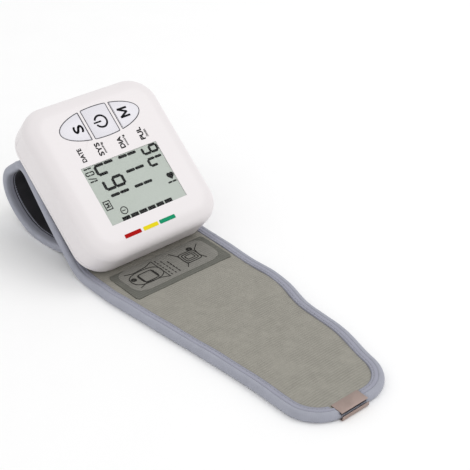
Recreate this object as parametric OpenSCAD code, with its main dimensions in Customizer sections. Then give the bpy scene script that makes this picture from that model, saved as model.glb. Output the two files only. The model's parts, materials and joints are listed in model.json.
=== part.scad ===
// Wrist blood pressure monitor with a wrap cuff, lying on a table with its case tipped up.
// Millimetres, +Z up. +X runs from the tip of the cuff's tail to the raised key end of the case.
// The origin is at the middle of the footprint, on the surface that the monitor rests on.

/* [Case] */
// Length of the case, from the battery door end to the key end
case_l = 72; // [70:0.5:76]
// Width of the case
case_w = 66; // [64:0.5:70]
// Thickness of the case, from its back to the flat of its face
case_t = 19.2; // [19:0.1:22]
// Radius of the case's corners, seen from the front
case_r = 12.5; // [11:0.5:14]
// How far the case is tipped up from the table, in degrees
tilt = 40; // [38:1:42]
// Thickness of the covers' walls
wall = 2; // [1.8:0.1:2.2]
// Height of the parting line above the back
split_z = 5; // [4.6:0.1:5.4]
// Radius of the edge where the sides meet the back
rear_r = 4.3; // [3.5:0.1:4.5]
// Small radius of the front rim
rim_r = 4.5; // [4:0.1:5]
// Large radius that eases the rim into the flat of the face
brow_r = 14; // [12:0.5:15]

/* [Display and keys] */
// Length of the display window, along the case
window_l = 26.9; // [24:0.1:28]
// Width of the display window, across the case
window_w = 38.2; // [34:0.1:39]
// Middle of the window, along the case
window_x = -9.3; // [-10:0.1:-8]
// Middle of the oval group of keys, along the case
keys_x = 20.9; // [20:0.1:21.5]
// Half length of the oval, across the case
keys_a = 19.9; // [18:0.1:20.5]
// Half width of the oval, along the case
keys_b = 7.4; // [6.5:0.1:7.6]
// Half length of the middle key
power_a = 6.4; // [5:0.1:7]
// Width of the web between two keys
web = 1.1; // [0.9:0.1:1.4]
// Gap round each key
key_gap = 0.25; // [0.2:0.05:0.3]
// Travel of a key
key_travel = 0.4; // [0.2:0.05:0.4]

/* [Cuff] */
// Thickness of the cuff
cuff_t = 3.2; // [3:0.1:3.4]
// Length of the flat tail, from its tip to the bend under the case
tail_l = 133; // [128:1:140]
// Radius of the tail's corners
tip_r = 15; // [13:0.5:16]
// Width of the binding tape round the edge
tape_w = 4; // [3:0.5:5]
// Distance from the tip to the outer fold of the tail
fold_outer_x = 47; // [44:1:50]
// Distance from the tip to the inner fold of the tail
fold_inner_x = 95; // [92:1:98]
// Radius of the bend under the case
bend_r = 14; // [12:0.5:15]
// Radius of the loop's upper corner
top_r = 8; // [7:0.5:9]
// Length of the loop's falling side
fall_l = 10; // [9:0.5:11]
// Radius of the loop's outer corner
nose_r = 10.6; // [10:0.1:11.5]
// Radius of the loop's belly
belly_r = 27; // [26:0.5:28]
// Thickness of the saddle between the case and the cuff
saddle_t = 3.4; // [3:0.1:3.6]
// How far the case reaches past the bend of the cuff
overhang = 5.6; // [5:0.1:6]

/* [Hidden] */
$fn = 48;
eps = 0.01;

// ---- cuff route: a walk of [length, turn] runs, seen from the side ----
fall_a = 36;        // slope of the falling side
belly_a = 50;       // turn of the belly
nose_a = 180 - fall_a - belly_a;
tuck_l = 22;        // the end tucked in under the case
tuck_a = 16;
half_t = cuff_t / 2;
fold_gap = 1.8;     // half the gap left at a fold of the tail
curl_gap = 0.8;     // half the gap left at the curl's hinge
arc_step = 6;
function arc_len(r, a) = PI * r * a / 180;
slope_l = (nose_r * (cos(fall_a) + cos(belly_a)) + belly_r * (1 - cos(belly_a)) + fall_l * sin(fall_a)
    - bend_r * (1 - cos(tilt)) - top_r * (cos(fall_a) - cos(tilt))) / sin(tilt);
bend_x = tail_l - bend_r * tan(tilt / 2);
nose_upper_a = 90 - fall_a;
curl_gap_a = curl_gap / nose_r * 180 / PI;
function run_arc(r, a) = [arc_len(r, abs(a)), a];
base_runs = [[bend_x - fold_inner_x - fold_gap, 0], run_arc(bend_r, tilt), [slope_l, 0],
    run_arc(top_r, -(tilt + fall_a)), [fall_l, 0], run_arc(nose_r, -(nose_upper_a - curl_gap_a))];
curl_runs = [run_arc(nose_r, -(nose_a - nose_upper_a - curl_gap_a)), run_arc(belly_r, -belly_a),
    [tuck_l, -tuck_a]];
function cut_runs(runs) = [for (r = runs) let (n = max(1, ceil(abs(r[1]) / arc_step)))
    for (i = [1:n]) [r[0] / n, r[1] / n]];
function chord(s) = s[1] == 0 ? s[0] : s[0] * 360 / (PI * s[1]) * sin(s[1] / 2);
function walk(s, p, i = 0) = i == len(s) ? [p] : concat([p], walk(s,
    [p[0] + chord(s[i]) * cos(p[2] + s[i][1] / 2), p[1] + chord(s[i]) * sin(p[2] + s[i][1] / 2),
     p[2] + s[i][1]], i + 1));
base_path = walk(cut_runs(base_runs), [fold_inner_x + fold_gap, half_t, 0]);
nose_pin = walk(cut_runs([run_arc(nose_r, -curl_gap_a)]), base_path[len(base_path) - 1]);
curl_pin = nose_pin[len(nose_pin) - 1];
curl_in = walk(cut_runs([run_arc(nose_r, -curl_gap_a)]), curl_pin);
curl_path = walk(cut_runs(curl_runs), curl_in[len(curl_in) - 1]);
mid_path = [[fold_outer_x + fold_gap, half_t, 0], [fold_inner_x - fold_gap, half_t, 0]];
tip_path = [[0, half_t, 0], [fold_outer_x - fold_gap, half_t, 0]];
loop_x = curl_pin[0] + half_t;
clip_t = 0.4;
shift_x = -(loop_x - clip_t) / 2;

// ---- cuff layers, as offsets from its middle line, the outer side first ----
fabric_d = 0.9;
stiff_d = 0.7;
bladder_d = 0.7;
side_d = half_t - fabric_d;
bladder_top = side_d - stiff_d;
lining_top = bladder_top - bladder_d;

// ---- cuff plan: [distance from the tip, half width] on the two sides of the tail, and on the curl ----
left_plan = [[0, 23.7], [12, 24.3], [30, 24.7], [40, 25.2], [60, 27], [80, 29.2], [94, 30.6],
    [108, 32.3], [124, 32.8], [150, 32], [168, 30.5], [184, 29], [200, 29]];
right_plan = [[0, 19.5], [12, 19.8], [20, 21.4], [28, 23.8], [36, 25.4], [54, 25.8], [60, 27],
    [69, 30], [79, 31.5], [90, 30.5], [106, 31], [150, 31.5], [168, 30.5], [184, 29], [200, 29]];
curl_plan = [[120, 27.5], [150, 27.5], [165, 28.5], [190, 29], [200, 29]];
plan_step = 2.5;
function rounded(x, w, inset) = x < tip_r
    ? w - tip_r + sqrt(max(0, pow(tip_r - inset, 2) - pow(tip_r - x, 2))) : w - inset;
// plans holds the left plan, on the +Y side, and the right plan
module outline(plans, x0, x1, inset) {
    n = ceil((x1 - x0) / plan_step);
    xs = [for (i = [0:n]) x0 + (x1 - x0) * i / n];
    polygon(concat([for (x = xs) [x, rounded(x, lookup(x, plans[0]), inset)]],
        [for (i = [n:-1:0]) [xs[i], -rounded(xs[i], lookup(xs[i], plans[1]), inset)]]));
}
tail_plans = [left_plan, right_plan];
curl_plans = [curl_plan, curl_plan];
function off(p, d) = [p[0] - d * sin(p[2]), p[1] + d * cos(p[2])];
module side_band(path, a, b) {
    n = len(path) - 1;
    translate([0, 40, 0]) rotate([90, 0, 0]) linear_extrude(80)
        polygon(concat([for (p = path) off(p, a)], [for (i = [n:-1:0]) off(path[i], b)]));
}
module prism() { translate([0, 0, -5]) linear_extrude(70) children(); }
// one layer of the cuff, inside the tape
module layer(path, plans, x0, x1, a, b) {
    translate([shift_x, 0, 0]) intersection() {
        side_band(path, a, b);
        prism() outline(plans, x0, x1, tape_w);
    }
}
// the binding tape along both edges, and round the tip
module tape(path, plans, x0, x1, past) {
    color("lightslategray") translate([shift_x, 0, 0]) intersection() {
        side_band(path, half_t, -half_t);
        prism() difference() {
            outline(plans, x0, x1, 0);
            outline(plans, x0 == 0 ? tape_w : x0 - past, x1 + past, tape_w);
        }
    }
}
base_x0 = fold_inner_x;
base_x1 = 200;
curl_x0 = 120;

// ---- the case's own frame: origin at the middle of its back, z out of its face ----
case_dx = tail_l + shift_x - (half_t + saddle_t) * sin(tilt);
case_dz = half_t + (half_t + saddle_t) * cos(tilt);
module in_case() {
    translate([case_dx, 0, case_dz]) rotate([0, -tilt, 0])
        translate([case_l / 2 - overhang, 0, 0]) children();
}
function arc_pts(c, r, a0, a1, n) = [for (i = [0:n]) let (a = a0 + (a1 - a0) * i / n)
    [c[0] + r * cos(a), c[1] + r * sin(a)]];
brow_a = 20;
rim_z = case_t - brow_r + (brow_r - rim_r) * cos(brow_a);
brow_c = [rim_r + (brow_r - rim_r) * sin(brow_a), rim_z - (brow_r - rim_r) * cos(brow_a)];
// the edge of the case in section: [distance in from the side, height], from the back to the face
function edge_line(i) = concat(arc_pts([rear_r, rear_r], rear_r - i, 270, 180, 5),
    arc_pts([rim_r, rim_z], rim_r - i, 180, 90 + brow_a, 6),
    arc_pts(brow_c, brow_r - i, 90 + brow_a - brow_a / 3, 90, 2));
module case_section(half, i) {
    e = edge_line(i);
    n = len(e) - 1;
    polygon(concat([for (p = e) [half - p[0], p[1]]], [for (k = [n:-1:0]) [e[k][0] - half, e[k][1]]]));
}
module case_solid(i) {
    cx = case_l / 2 - case_r;
    cy = case_w / 2 - case_r;
    e = edge_line(i);
    union() {
        translate([0, cy, 0]) rotate([90, 0, 0]) linear_extrude(2 * cy) case_section(case_l / 2, i);
        translate([-cx, 0, 0]) rotate([90, 0, 90]) linear_extrude(2 * cx) case_section(case_w / 2, i);
        for (sx = [-1, 1], sy = [-1, 1]) translate([sx * cx, sy * cy, 0]) rotate_extrude()
            polygon(concat([[0, e[0][1]]], [for (p = e) [case_r - p[0], p[1]]],
                [[0, e[len(e) - 1][1]]]));
    }
}
module block(x0, x1, y0, y1, z0, z1) {
    translate([x0, y0, z0]) cube([x1 - x0, y1 - y0, z1 - z0]);
}
module rod_y(x, z, r, y0, y1) { translate([x, y1, z]) rotate([90, 0, 0]) cylinder(r = r, h = y1 - y0); }
module rod_x(y, z, r, x0, x1) { translate([x0, y, z]) rotate([0, 90, 0]) cylinder(r = r, h = x1 - x0); }

// heights inside the case, above its back
floor_z = wall;
board_z = 12.6;
board_top = 13.6;
roof_z = case_t - wall;
lens_z = case_t - 1;
glass_z = 16.5;
// places of the screws, seen from the front
case_screw_xy = [[-29, 25], [-29, -25], [28.5, 25.5], [28.5, -25.5]];
board_screw_xy = [[0.5, 24.2], [0.5, -24.2], [31.4, 10], [31.4, -10]];
saddle_screw_xy = [[-4, 20], [-4, -20], [13, 20], [13, -20]];
screw_r = 1;
boss_r = 2.6;

// ---- keys ----
key_top = case_t + 0.2;
key_low = 15.5;
flange_z0 = 15.9;
flange_z1 = roof_z - 0.1;
keys_y = -0.3;
module oval(grow) {
    translate([keys_x, keys_y]) polygon([for (a = [0:7.5:352.5]) [(keys_b + grow) * cos(a),
        (keys_a + grow) * sin(a)]]);
}
// k is 1 for the S key, 0 for the power key and -1 for the M key
module key_plan(k, grow) {
    y0 = k == 0 ? -power_a : power_a + web;
    y1 = k == 0 ? power_a : keys_a + 5;
    intersection() {
        oval(grow);
        translate([keys_x - 15, keys_y + (k < 0 ? -y1 : y0) - grow]) square([30, y1 - y0 + 2 * grow]);
    }
}
key_mid = [for (k = [-1, 0, 1]) [k, keys_y + k * 12.4]];
module key(k) {
    color("ghostwhite") in_case() union() {
        translate([0, 0, flange_z1]) linear_extrude(key_top - flange_z1) key_plan(k, -key_gap);
        translate([0, 0, flange_z0]) linear_extrude(flange_z1 - flange_z0) key_plan(k, 0.25);
        translate([keys_x, keys_y + k * 12.4, key_low]) cylinder(r = 1.4, h = flange_z0 - key_low + eps);
    }
}

// ---- battery door in the side wall, on a barrel hinge along its upper edge ----
door_x0 = -25.9;
door_x1 = -2.9;
door_low = 1.4;
door_t = 1.9;
door_gap = 0.2;
barrel_r = 1.5;
pin_r = 0.6;
hinge_y = barrel_r - case_w / 2;
hinge_z = 14.2;
pin_x0 = door_x0 - 1.3;
pin_x1 = door_x1 + 1.3;
notch_r = 5;
// what the covers leave free for the door, the cells and the swing of the door
module door_space(g) {
    block(door_x0 - g, door_x1 + g, -case_w / 2 - 5, -case_w / 2 + 3.4, door_low - g, hinge_z);
    rod_x(hinge_y, hinge_z, barrel_r + g, door_x0 - g, door_x1 + g);
    block(door_x0 - g, door_x1 + g, -case_w / 2 - 5, hinge_y, hinge_z - eps, hinge_z + barrel_r + g);
}
module thumb_notch() {
    translate([-case_l / 2 - 3, 0, 1.6 - notch_r]) rotate([0, 90, 0]) cylinder(r = notch_r, h = 5.4);
}

// walls of the battery bay
bay_x0 = -26.5;
bay_x1 = -2.3;
bay_y1 = 17;
bay_top = 11.8;

module front_cover() {
    color("white") in_case() difference() {
        union() {
            difference() {
                intersection() {
                    case_solid(0);
                    block(-50, 50, -50, 50, split_z, 30);
                }
                difference() {
                    case_solid(wall);
                    for (p = case_screw_xy) translate([p[0], p[1], split_z]) cylinder(r = boss_r, h = 20);
                    for (p = board_screw_xy) translate([p[0], p[1], board_top]) cylinder(r = 1.6, h = 10);
                    block(pin_x0 - 0.4, pin_x1 + 0.4, -case_w / 2, -29.8, hinge_z - 1.4, hinge_z + 1.6);
                }
            }
        }
        // display window, and the pocket that the glass sits in
        block(window_x - window_l / 2, window_x + window_l / 2, -window_w / 2, window_w / 2, 10, 30);
        block(window_x - window_l / 2 - 2, window_x + window_l / 2 + 2, -window_w / 2 - 2, window_w / 2 + 2,
            10, lens_z);
        for (k = [-1, 0, 1]) translate([0, 0, 10]) linear_extrude(20) key_plan(k, 0);
        door_space(door_gap);
        rod_x(hinge_y, hinge_z, pin_r, pin_x0, pin_x1);
        for (p = case_screw_xy) translate([p[0], p[1], split_z - eps]) cylinder(r = screw_r, h = 7);
        for (p = board_screw_xy) translate([p[0], p[1], board_top - eps]) cylinder(r = 0.8, h = 2.6);
    }
}
module back_cover() {
    color("whitesmoke") in_case() difference() {
        union() {
            difference() {
                intersection() {
                    case_solid(0);
                    block(-50, 50, -50, 50, 0, split_z);
                }
                difference() {
                    case_solid(wall);
                    block(-50, 50, -50, 50, -1, floor_z);
                    for (p = case_screw_xy) translate([p[0], p[1], 0]) cylinder(r = boss_r, h = split_z);
                }
            }
            block(bay_x1 - 1, bay_x1, -29.4, bay_y1, floor_z - eps, bay_top);
            block(bay_x0, bay_x1, bay_y1 - 1, bay_y1, floor_z - eps, bay_top);
        }
        door_space(door_gap);
        thumb_notch();
        for (p = case_screw_xy) translate([p[0], p[1], -1]) {
            cylinder(r = screw_r, h = 10);
            cylinder(r = 1.9, h = 2.4);
        }
        for (p = saddle_screw_xy) translate([p[0], p[1], -1]) cylinder(r = screw_r, h = 2.9);
        translate([14, 15.5, -1]) cylinder(r = 1.6, h = 5);
    }
}
module display_lens() {
    g = 0.05;
    color("lightcyan") in_case() block(window_x - window_l / 2 + g, window_x + window_l / 2 - g,
        -window_w / 2 + g, window_w / 2 - g, lens_z, case_t);
}
module lcd_glass() {
    color("darkseagreen") in_case() block(window_x - window_l / 2 - 1.5, window_x + window_l / 2 + 1.5,
        -window_w / 2 - 1.5, window_w / 2 + 1.5, glass_z, lens_z - 0.05);
}
module lcd_holder() {
    color("white") in_case() difference() {
        block(window_x - window_l / 2 - 1.8, window_x + window_l / 2 + 1.8, -window_w / 2 - 1.8,
            window_w / 2 + 1.8, board_top, glass_z);
        block(window_x - window_l / 2 + 0.6, window_x + window_l / 2 - 0.6, -window_w / 2 + 3,
            window_w / 2 - 3, board_top - 1, glass_z - 0.6);
        for (s = [-1, 1]) translate([window_x + s * (window_l / 2 - 3), 0, board_top - 1])
            block(-1, 1, -window_w / 2 + 4, window_w / 2 - 4, 0, 5);
    }
}
module lcd_connectors() {
    color("hotpink") in_case() for (s = [-1, 1]) translate([window_x + s * (window_l / 2 - 3), 0, 0])
        block(-0.9, 0.9, -window_w / 2 + 4.2, window_w / 2 - 4.2, board_top, glass_z);
}
module main_board() {
    color("darkgreen") in_case() difference() {
        block(-25, 33.2, -26, 26, board_z, board_top);
        for (p = board_screw_xy) translate([p[0], p[1], board_z - 1]) cylinder(r = 0.8, h = 5);
        for (s = [-1, 1]) translate([33.2, s * 26, board_z - 1]) cylinder(r = 8, h = 5);
    }
}
module board_parts() {
    color("dimgray") in_case() union() {
        block(-2, 6, -8, 0, board_z - 1.2, board_z);
        block(8, 13, -14, -11, board_z - 1.4, board_z);
        block(9, 12, 2, 6, board_z - 1.8, board_z);
        for (i = [0:4]) block(-6 + 3 * i, -4.4 + 3 * i, 4, 4.8, board_z - 0.6, board_z);
    }
}
module board_screws() {
    color("silver") in_case() for (p = board_screw_xy) translate([p[0], p[1], 0]) {
        translate([0, 0, board_z - 1]) cylinder(r = 1.5, h = 1);
        translate([0, 0, board_z - eps]) cylinder(r = 0.8, h = 3.4);
    }
}
module key_switches() {
    color("black") in_case() for (m = key_mid) translate([keys_x, m[1], board_top]) {
        block(-2.6, 2.6, -2.6, 2.6, 0, 1);
        cylinder(r = 1.5, h = 1.45);
    }
}
module battery_door() {
    color("white") in_case() difference() {
        intersection() {
            case_solid(0);
            union() {
                block(door_x0, door_x1, -case_w / 2 - 5, -case_w / 2 + door_t, door_low, hinge_z);
                rod_x(hinge_y, hinge_z, barrel_r, door_x0, door_x1);
            }
        }
        rod_x(hinge_y, hinge_z, pin_r + 0.05, door_x0 - 1, door_x1 + 1);
    }
}
module door_pin() { color("silver") in_case() rod_x(hinge_y, hinge_z, pin_r, pin_x0, pin_x1); }

// ---- power: two AAA cells side by side, the contacts at one end fixed to the door ----
cell_r = 5.25;
cell_l = 44.5;
nub_l = 0.8;
cell_x = [-20, -8.8];
cell_y = -7;
cell_z = 7.3;
contact_r = 4;
module battery_cells() {
    color("goldenrod") in_case() for (i = [0, 1]) translate([cell_x[i], cell_y, cell_z])
        rotate([0, 0, i * 180]) {
            rod_y(0, 0, cell_r, -cell_l / 2, cell_l / 2 - nub_l);
            rod_y(0, 0, 1.9, cell_l / 2 - nub_l - eps, cell_l / 2);
        }
}
// a wire bent along points, with flat ends
module wire(pts, r, n) {
    m = len(pts);
    rings = [for (i = [0:m - 1]) let (d = pts[min(i + 1, m - 1)] - pts[max(i - 1, 0)], t = d / norm(d),
        u = cross(t, [0, 1, 0.02]), un = u / norm(u), v = cross(t, un))
        [for (k = [0:n - 1]) pts[i] + r * (cos(360 * k / n) * un + sin(360 * k / n) * v)]];
    polyhedron(points = [for (g = rings) for (p = g) p], faces = concat(
        [[for (k = [0:n - 1]) k]], [[for (k = [n - 1:-1:0]) (m - 1) * n + k]],
        [for (i = [0:m - 2], k = [0:n - 1]) [i * n + k, (i + 1) * n + k, (i + 1) * n + (k + 1) % n]],
        [for (i = [0:m - 2], k = [0:n - 1]) [i * n + k, (i + 1) * n + (k + 1) % n, i * n + (k + 1) % n]]));
}
coil_turns = 2;
coil_r = 3.4;
wire_r = 0.25;
spring_y0 = -case_w / 2 + door_t;
spring_t = 0.4;
coil_h = 0.9;
module battery_springs() {
    color("silver") in_case() {
        block(cell_x[0] - contact_r, cell_x[1] + contact_r, spring_y0, spring_y0 + spring_t,
            cell_z - contact_r, cell_z + contact_r);
        for (x = cell_x) translate([x, spring_y0 + spring_t + wire_r, cell_z])
            wire([for (a = [0:30:360 * coil_turns]) [(coil_r - a / 900) * cos(a),
                coil_h * a / (360 * coil_turns), (coil_r - a / 900) * sin(a)]], wire_r, 6);
    }
}
module battery_plates() {
    end_y = cell_y + cell_l / 2;
    color("silver") in_case() for (x = cell_x) translate([x, 0, cell_z]) union() {
        block(-contact_r, contact_r, end_y + 0.25, bay_y1 - 1.02, -contact_r, contact_r);
        rod_y(0, 0, 2, end_y + 0.02, end_y + 0.26);
    }
}

// ---- air system ----
pump_x = 22;
pump_z = 7.2;
shaft_r = 0.75;
module motor_can() {
    color("silver") in_case() difference() {
        rod_y(pump_x, pump_z, 5, -23, -5);
        rod_y(pump_x, pump_z, 4.5, -22.2, -5.8);
        rod_y(pump_x, pump_z, shaft_r + 0.05, -30, 0);
    }
}
module motor_magnet() {
    color("dimgray") in_case() difference() {
        rod_y(pump_x, pump_z, 4.5, -19, -9);
        rod_y(pump_x, pump_z, 3.9, -20, -8);
    }
}
module pump_head() {
    color("ivory") in_case() difference() {
        union() {
            block(pump_x - 6, pump_x + 6, -5, 7, floor_z + 0.1, board_z - 0.2);
            rod_y(pump_x, pump_z, 1.1, 7 - eps, 10);
        }
        rod_y(pump_x, pump_z, 4.4, -4, 5);
        rod_y(pump_x, pump_z, shaft_r + 0.05, -6, -3);
        rod_y(pump_x, pump_z, 0.5, 4, 11);
    }
}
module pump_rotor() {
    color("gray") in_case() union() {
        rod_y(pump_x, pump_z, shaft_r, -22.8, 3.5);
        rod_y(pump_x, pump_z, 3.6, -18, -10);
        rod_y(pump_x + 1.2, pump_z, 2.5, -2.5, 3);
    }
}
valve_x = 5;
module valve_body() {
    color("black") in_case() difference() {
        union() {
            block(valve_x - 4.5, valve_x + 4.5, 8.5, 22.5, 2.7, 11.7);
            rod_x(15.5, pump_z, 1.1, valve_x + 4.5 - eps, 11);
        }
        rod_y(valve_x, pump_z, 2, 10.5, 23);
        rod_x(15.5, pump_z, 0.5, valve_x, 12);
    }
}
module valve_plunger() { color("silver") in_case() rod_y(valve_x, pump_z, 1.95, 11.6, 21.5); }
module air_manifold() {
    color("ivory") in_case() difference() {
        block(11.6, 26, 12.5, 18.5, 4.2, 12.2);
        rod_x(15.5, pump_z, 1.1, 11, 13.5);
        rod_x(15.5, pump_z, 0.5, 11, 24);
        rod_y(22, pump_z, 1.7, 11, 14);
        rod_y(22, pump_z, 0.5, 11, 16);
        rod_y(22, 10.4, 1.1, 17, 20);
        translate([22, 15.5, pump_z]) cylinder(r = 0.5, h = 3.6);
        rod_y(22, 10.4, 0.5, 15, 18);
        translate([14, 15.5, 4]) cylinder(r = 1.1, h = 1.4);
        translate([14, 15.5, 4]) cylinder(r = 0.5, h = 3.4);
    }
}
module air_tubes() {
    color("lightgray") in_case() {
        difference() {
            rod_y(22, pump_z, 1.7, 7.2, 14);
            rod_y(22, pump_z, 1.1, 7, 10);
            rod_y(22, pump_z, 0.5, 9, 15);
        }
        difference() {
            rod_y(22, 10.4, 1.1, 17, 21.5);
            rod_y(22, 10.4, 0.5, 16, 22);
        }
    }
}
module pressure_sensor() {
    color("whitesmoke") in_case() difference() {
        block(18.5, 25.5, 21.5, 28, 9, board_z);
        rod_y(22, 10.4, 0.5, 21, 25);
        block(10, 30, 26, 35, board_z - 1, board_z + 1);
    }
}
module buzzer() {
    color("black") in_case() difference() {
        translate([2.6, -17, board_z - 3]) cylinder(r = 4.5, h = 3);
        translate([2.6, -17, board_z - 4]) cylinder(r = 0.8, h = 3);
    }
}
module cuff_nozzle() {
    color("lightgray") in_case() difference() {
        translate([14, 15.5, -saddle_t]) cylinder(r = 1.1, h = saddle_t + 5.4);
        translate([14, 15.5, -saddle_t - 1]) cylinder(r = 0.5, h = 15);
    }
}
module case_screws() {
    color("silver") in_case() for (p = case_screw_xy) translate([p[0], p[1], 0]) difference() {
        union() {
            translate([0, 0, 0.3]) cylinder(r = 1.8, h = 1.1);
            translate([0, 0, 1.4 - eps]) cylinder(r = screw_r, h = 9.6);
        }
        block(-1.2, 1.2, -0.2, 0.2, 0, 0.8);
        block(-0.2, 0.2, -1.2, 1.2, 0, 0.8);
    }
}

// ---- saddle that carries the cuff ----
module saddle_plate() {
    color("gainsboro") in_case() difference() {
        block(-22, 16, -24, 24, -saddle_t, 0);
        for (p = saddle_screw_xy) translate([p[0], p[1], -saddle_t - 1]) {
            cylinder(r = screw_r, h = 8);
            cylinder(r = 1.9, h = 2.4);
        }
        translate([14, 15.5, -saddle_t - 1]) cylinder(r = 1.6, h = 8);
    }
}
module saddle_screws() {
    color("silver") in_case() for (p = saddle_screw_xy) translate([p[0], p[1], -saddle_t]) {
        translate([0, 0, 0.3]) cylinder(r = 1.8, h = 1.1);
        translate([0, 0, 1.4 - eps]) cylinder(r = screw_r, h = 3.9);
    }
}

// ---- cuff: base under the case ----
module cuff_fabric_base() {
    color("gray") layer(base_path, tail_plans, base_x0, base_x1, half_t, side_d);
}
module cuff_stiffener_base() {
    color("dimgray") layer(base_path, tail_plans, base_x0, base_x1, side_d, bladder_top);
}
module cuff_bladder() {
    color("darkgray") layer(base_path, tail_plans, base_x0, base_x1, bladder_top, lining_top);
}
module cuff_lining_base() {
    color("black") layer(base_path, tail_plans, base_x0, base_x1, lining_top, -half_t);
}
module cuff_tape_base() { tape(base_path, tail_plans, base_x0, base_x1, 5); }
label_t = 0.3;
label_l = 20;
module cuff_label() {
    color("dimgray") translate([101 + shift_x, -24.5, cuff_t]) cube([label_l, 49, label_t]);
}
// ---- cuff: the curl that closes the loop ----
module cuff_fabric_curl() {
    color("gray") layer(curl_path, curl_plans, curl_x0, base_x1, half_t, side_d);
}
module cuff_stiffener_curl() {
    color("dimgray") layer(curl_path, curl_plans, curl_x0, base_x1, side_d, bladder_top);
}
module cuff_lining_curl() {
    color("black") layer(curl_path, curl_plans, curl_x0, base_x1, bladder_top, -half_t);
}
module cuff_tape_curl() { tape(curl_path, curl_plans, curl_x0, base_x1, 5); }
// ---- cuff: the tail, in two stretches ----
module cuff_fabric_mid() { color("gray") layer(mid_path, tail_plans, 40, 100, half_t, 0); }
module cuff_lining_mid() { color("black") layer(mid_path, tail_plans, 40, 100, 0, -half_t); }
module cuff_tape_mid() { tape(mid_path, tail_plans, 40, 100, 5); }
module cuff_fabric_tip() { color("gray") layer(tip_path, tail_plans, tape_w, 50, half_t, 0); }
patch_x0 = 10;
patch_x1 = 34;
patch_w = 14;
patch_d = 0.8;
module hook_patch() {
    color("black") translate([shift_x, 0, 0]) block(patch_x0, patch_x1, -patch_w, patch_w, 0, patch_d);
}
module cuff_lining_tip() {
    color("black") difference() {
        layer(tip_path, tail_plans, tape_w, 50, 0, -half_t);
        translate([shift_x, 0, 0]) block(patch_x0, patch_x1, -patch_w, patch_w, -1, patch_d);
        clip_seat();
    }
}
clip_w = 13;
clip_y = 5;
clip_l = 5;
module cuff_tape_tip() {
    difference() {
        tape(tip_path, tail_plans, 0, 50, 5);
        clip_seat();
    }
}
module clip_seat() {
    translate([shift_x - 1, clip_y - clip_w / 2, -1]) cube([clip_l + 1, clip_w, clip_t + 1]);
}
module end_clip() {
    color("silver") translate([shift_x, clip_y - clip_w / 2, 0]) union() {
        translate([-clip_t, 0, 0]) cube([clip_t, clip_w, cuff_t + clip_t]);
        translate([-eps, 0, 0]) cube([clip_l, clip_w, clip_t]);
        translate([-eps, 0, cuff_t]) cube([clip_l, clip_w, clip_t]);
    }
}

front_cover();
back_cover();
display_lens();
lcd_glass();
lcd_holder();
lcd_connectors();
main_board();
board_parts();
board_screws();
key_switches();
key(1);  // key_s
key(0);  // key_power
key(-1);  // key_m
battery_door();
door_pin();
battery_cells();
battery_springs();
battery_plates();
buzzer();
motor_can();
motor_magnet();
pump_head();
pump_rotor();
valve_body();
valve_plunger();
air_manifold();
air_tubes();
pressure_sensor();
cuff_nozzle();
case_screws();
saddle_plate();
saddle_screws();
cuff_fabric_base();
cuff_stiffener_base();
cuff_bladder();
cuff_lining_base();
cuff_tape_base();
cuff_label();
cuff_fabric_curl();
cuff_stiffener_curl();
cuff_lining_curl();
cuff_tape_curl();
cuff_fabric_mid();
cuff_lining_mid();
cuff_tape_mid();
cuff_fabric_tip();
cuff_lining_tip();
cuff_tape_tip();
hook_patch();
end_clip();
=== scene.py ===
# %% [markdown]
# A wrist blood pressure monitor: a white case with a display and an oval of keys, on a grey wrap cuff.
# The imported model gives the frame. It holds every hard piece at its real size and place, and the bodies
# that move. This lesson builds the looks round that frame: the smooth case, the printing, the soft cuff.
# The first cell loads the frame and keeps its box, so that the finished looks can be held against it.

# %% Load the frame
import json
import math
import bmesh
import bpy
from mathutils import Matrix, Vector, noise


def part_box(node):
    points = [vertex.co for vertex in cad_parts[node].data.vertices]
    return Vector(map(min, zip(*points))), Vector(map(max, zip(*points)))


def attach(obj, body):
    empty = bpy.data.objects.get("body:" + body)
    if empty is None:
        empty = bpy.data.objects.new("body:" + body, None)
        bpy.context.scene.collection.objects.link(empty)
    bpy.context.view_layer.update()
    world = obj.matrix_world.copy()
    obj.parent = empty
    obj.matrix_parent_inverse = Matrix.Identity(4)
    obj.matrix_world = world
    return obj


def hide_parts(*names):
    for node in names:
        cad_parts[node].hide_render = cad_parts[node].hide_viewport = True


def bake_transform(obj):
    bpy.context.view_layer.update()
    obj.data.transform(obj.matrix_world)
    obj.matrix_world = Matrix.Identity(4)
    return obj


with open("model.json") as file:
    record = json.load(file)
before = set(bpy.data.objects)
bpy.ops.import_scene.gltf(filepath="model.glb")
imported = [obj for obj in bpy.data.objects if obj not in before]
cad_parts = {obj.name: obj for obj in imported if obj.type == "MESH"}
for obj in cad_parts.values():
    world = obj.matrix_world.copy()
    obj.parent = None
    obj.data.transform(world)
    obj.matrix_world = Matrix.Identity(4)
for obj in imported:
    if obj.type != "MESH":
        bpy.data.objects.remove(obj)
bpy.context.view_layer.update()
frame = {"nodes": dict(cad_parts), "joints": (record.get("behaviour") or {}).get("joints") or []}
MM = 0.001

# %% [markdown]
# The case stands tipped up, so it is easiest to model it lying flat and then put it in its place once.
# A key slides straight into the face, so the axis of its joint is the face's normal. With the middle of
# the display window that fixes the case's own frame: x up the slope, y to the left, z out of the face.

# %% The case's own frame
joints = {joint["name"]: joint for joint in frame["joints"]}
FACE_OUT = -Vector(joints["key_power_press"]["axis"]).normalized()
UP_SLOPE = Vector((0, 1, 0)).cross(FACE_OUT)
WINDOW_X = -9.3
CASE_T = 19.2
low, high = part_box("display_lens")
lens_middle = (low + high) / 2
case_origin = lens_middle - UP_SLOPE * WINDOW_X * MM - FACE_OUT * (CASE_T - 0.5) * MM
CASE_PLACE = Matrix.Translation(case_origin) @ Matrix((UP_SLOPE, (0, 1, 0), FACE_OUT)).transposed().to_4x4()
print("case tipped by", round(math.degrees(math.atan2(UP_SLOPE.z, UP_SLOPE.x)), 1), "degrees")

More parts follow.
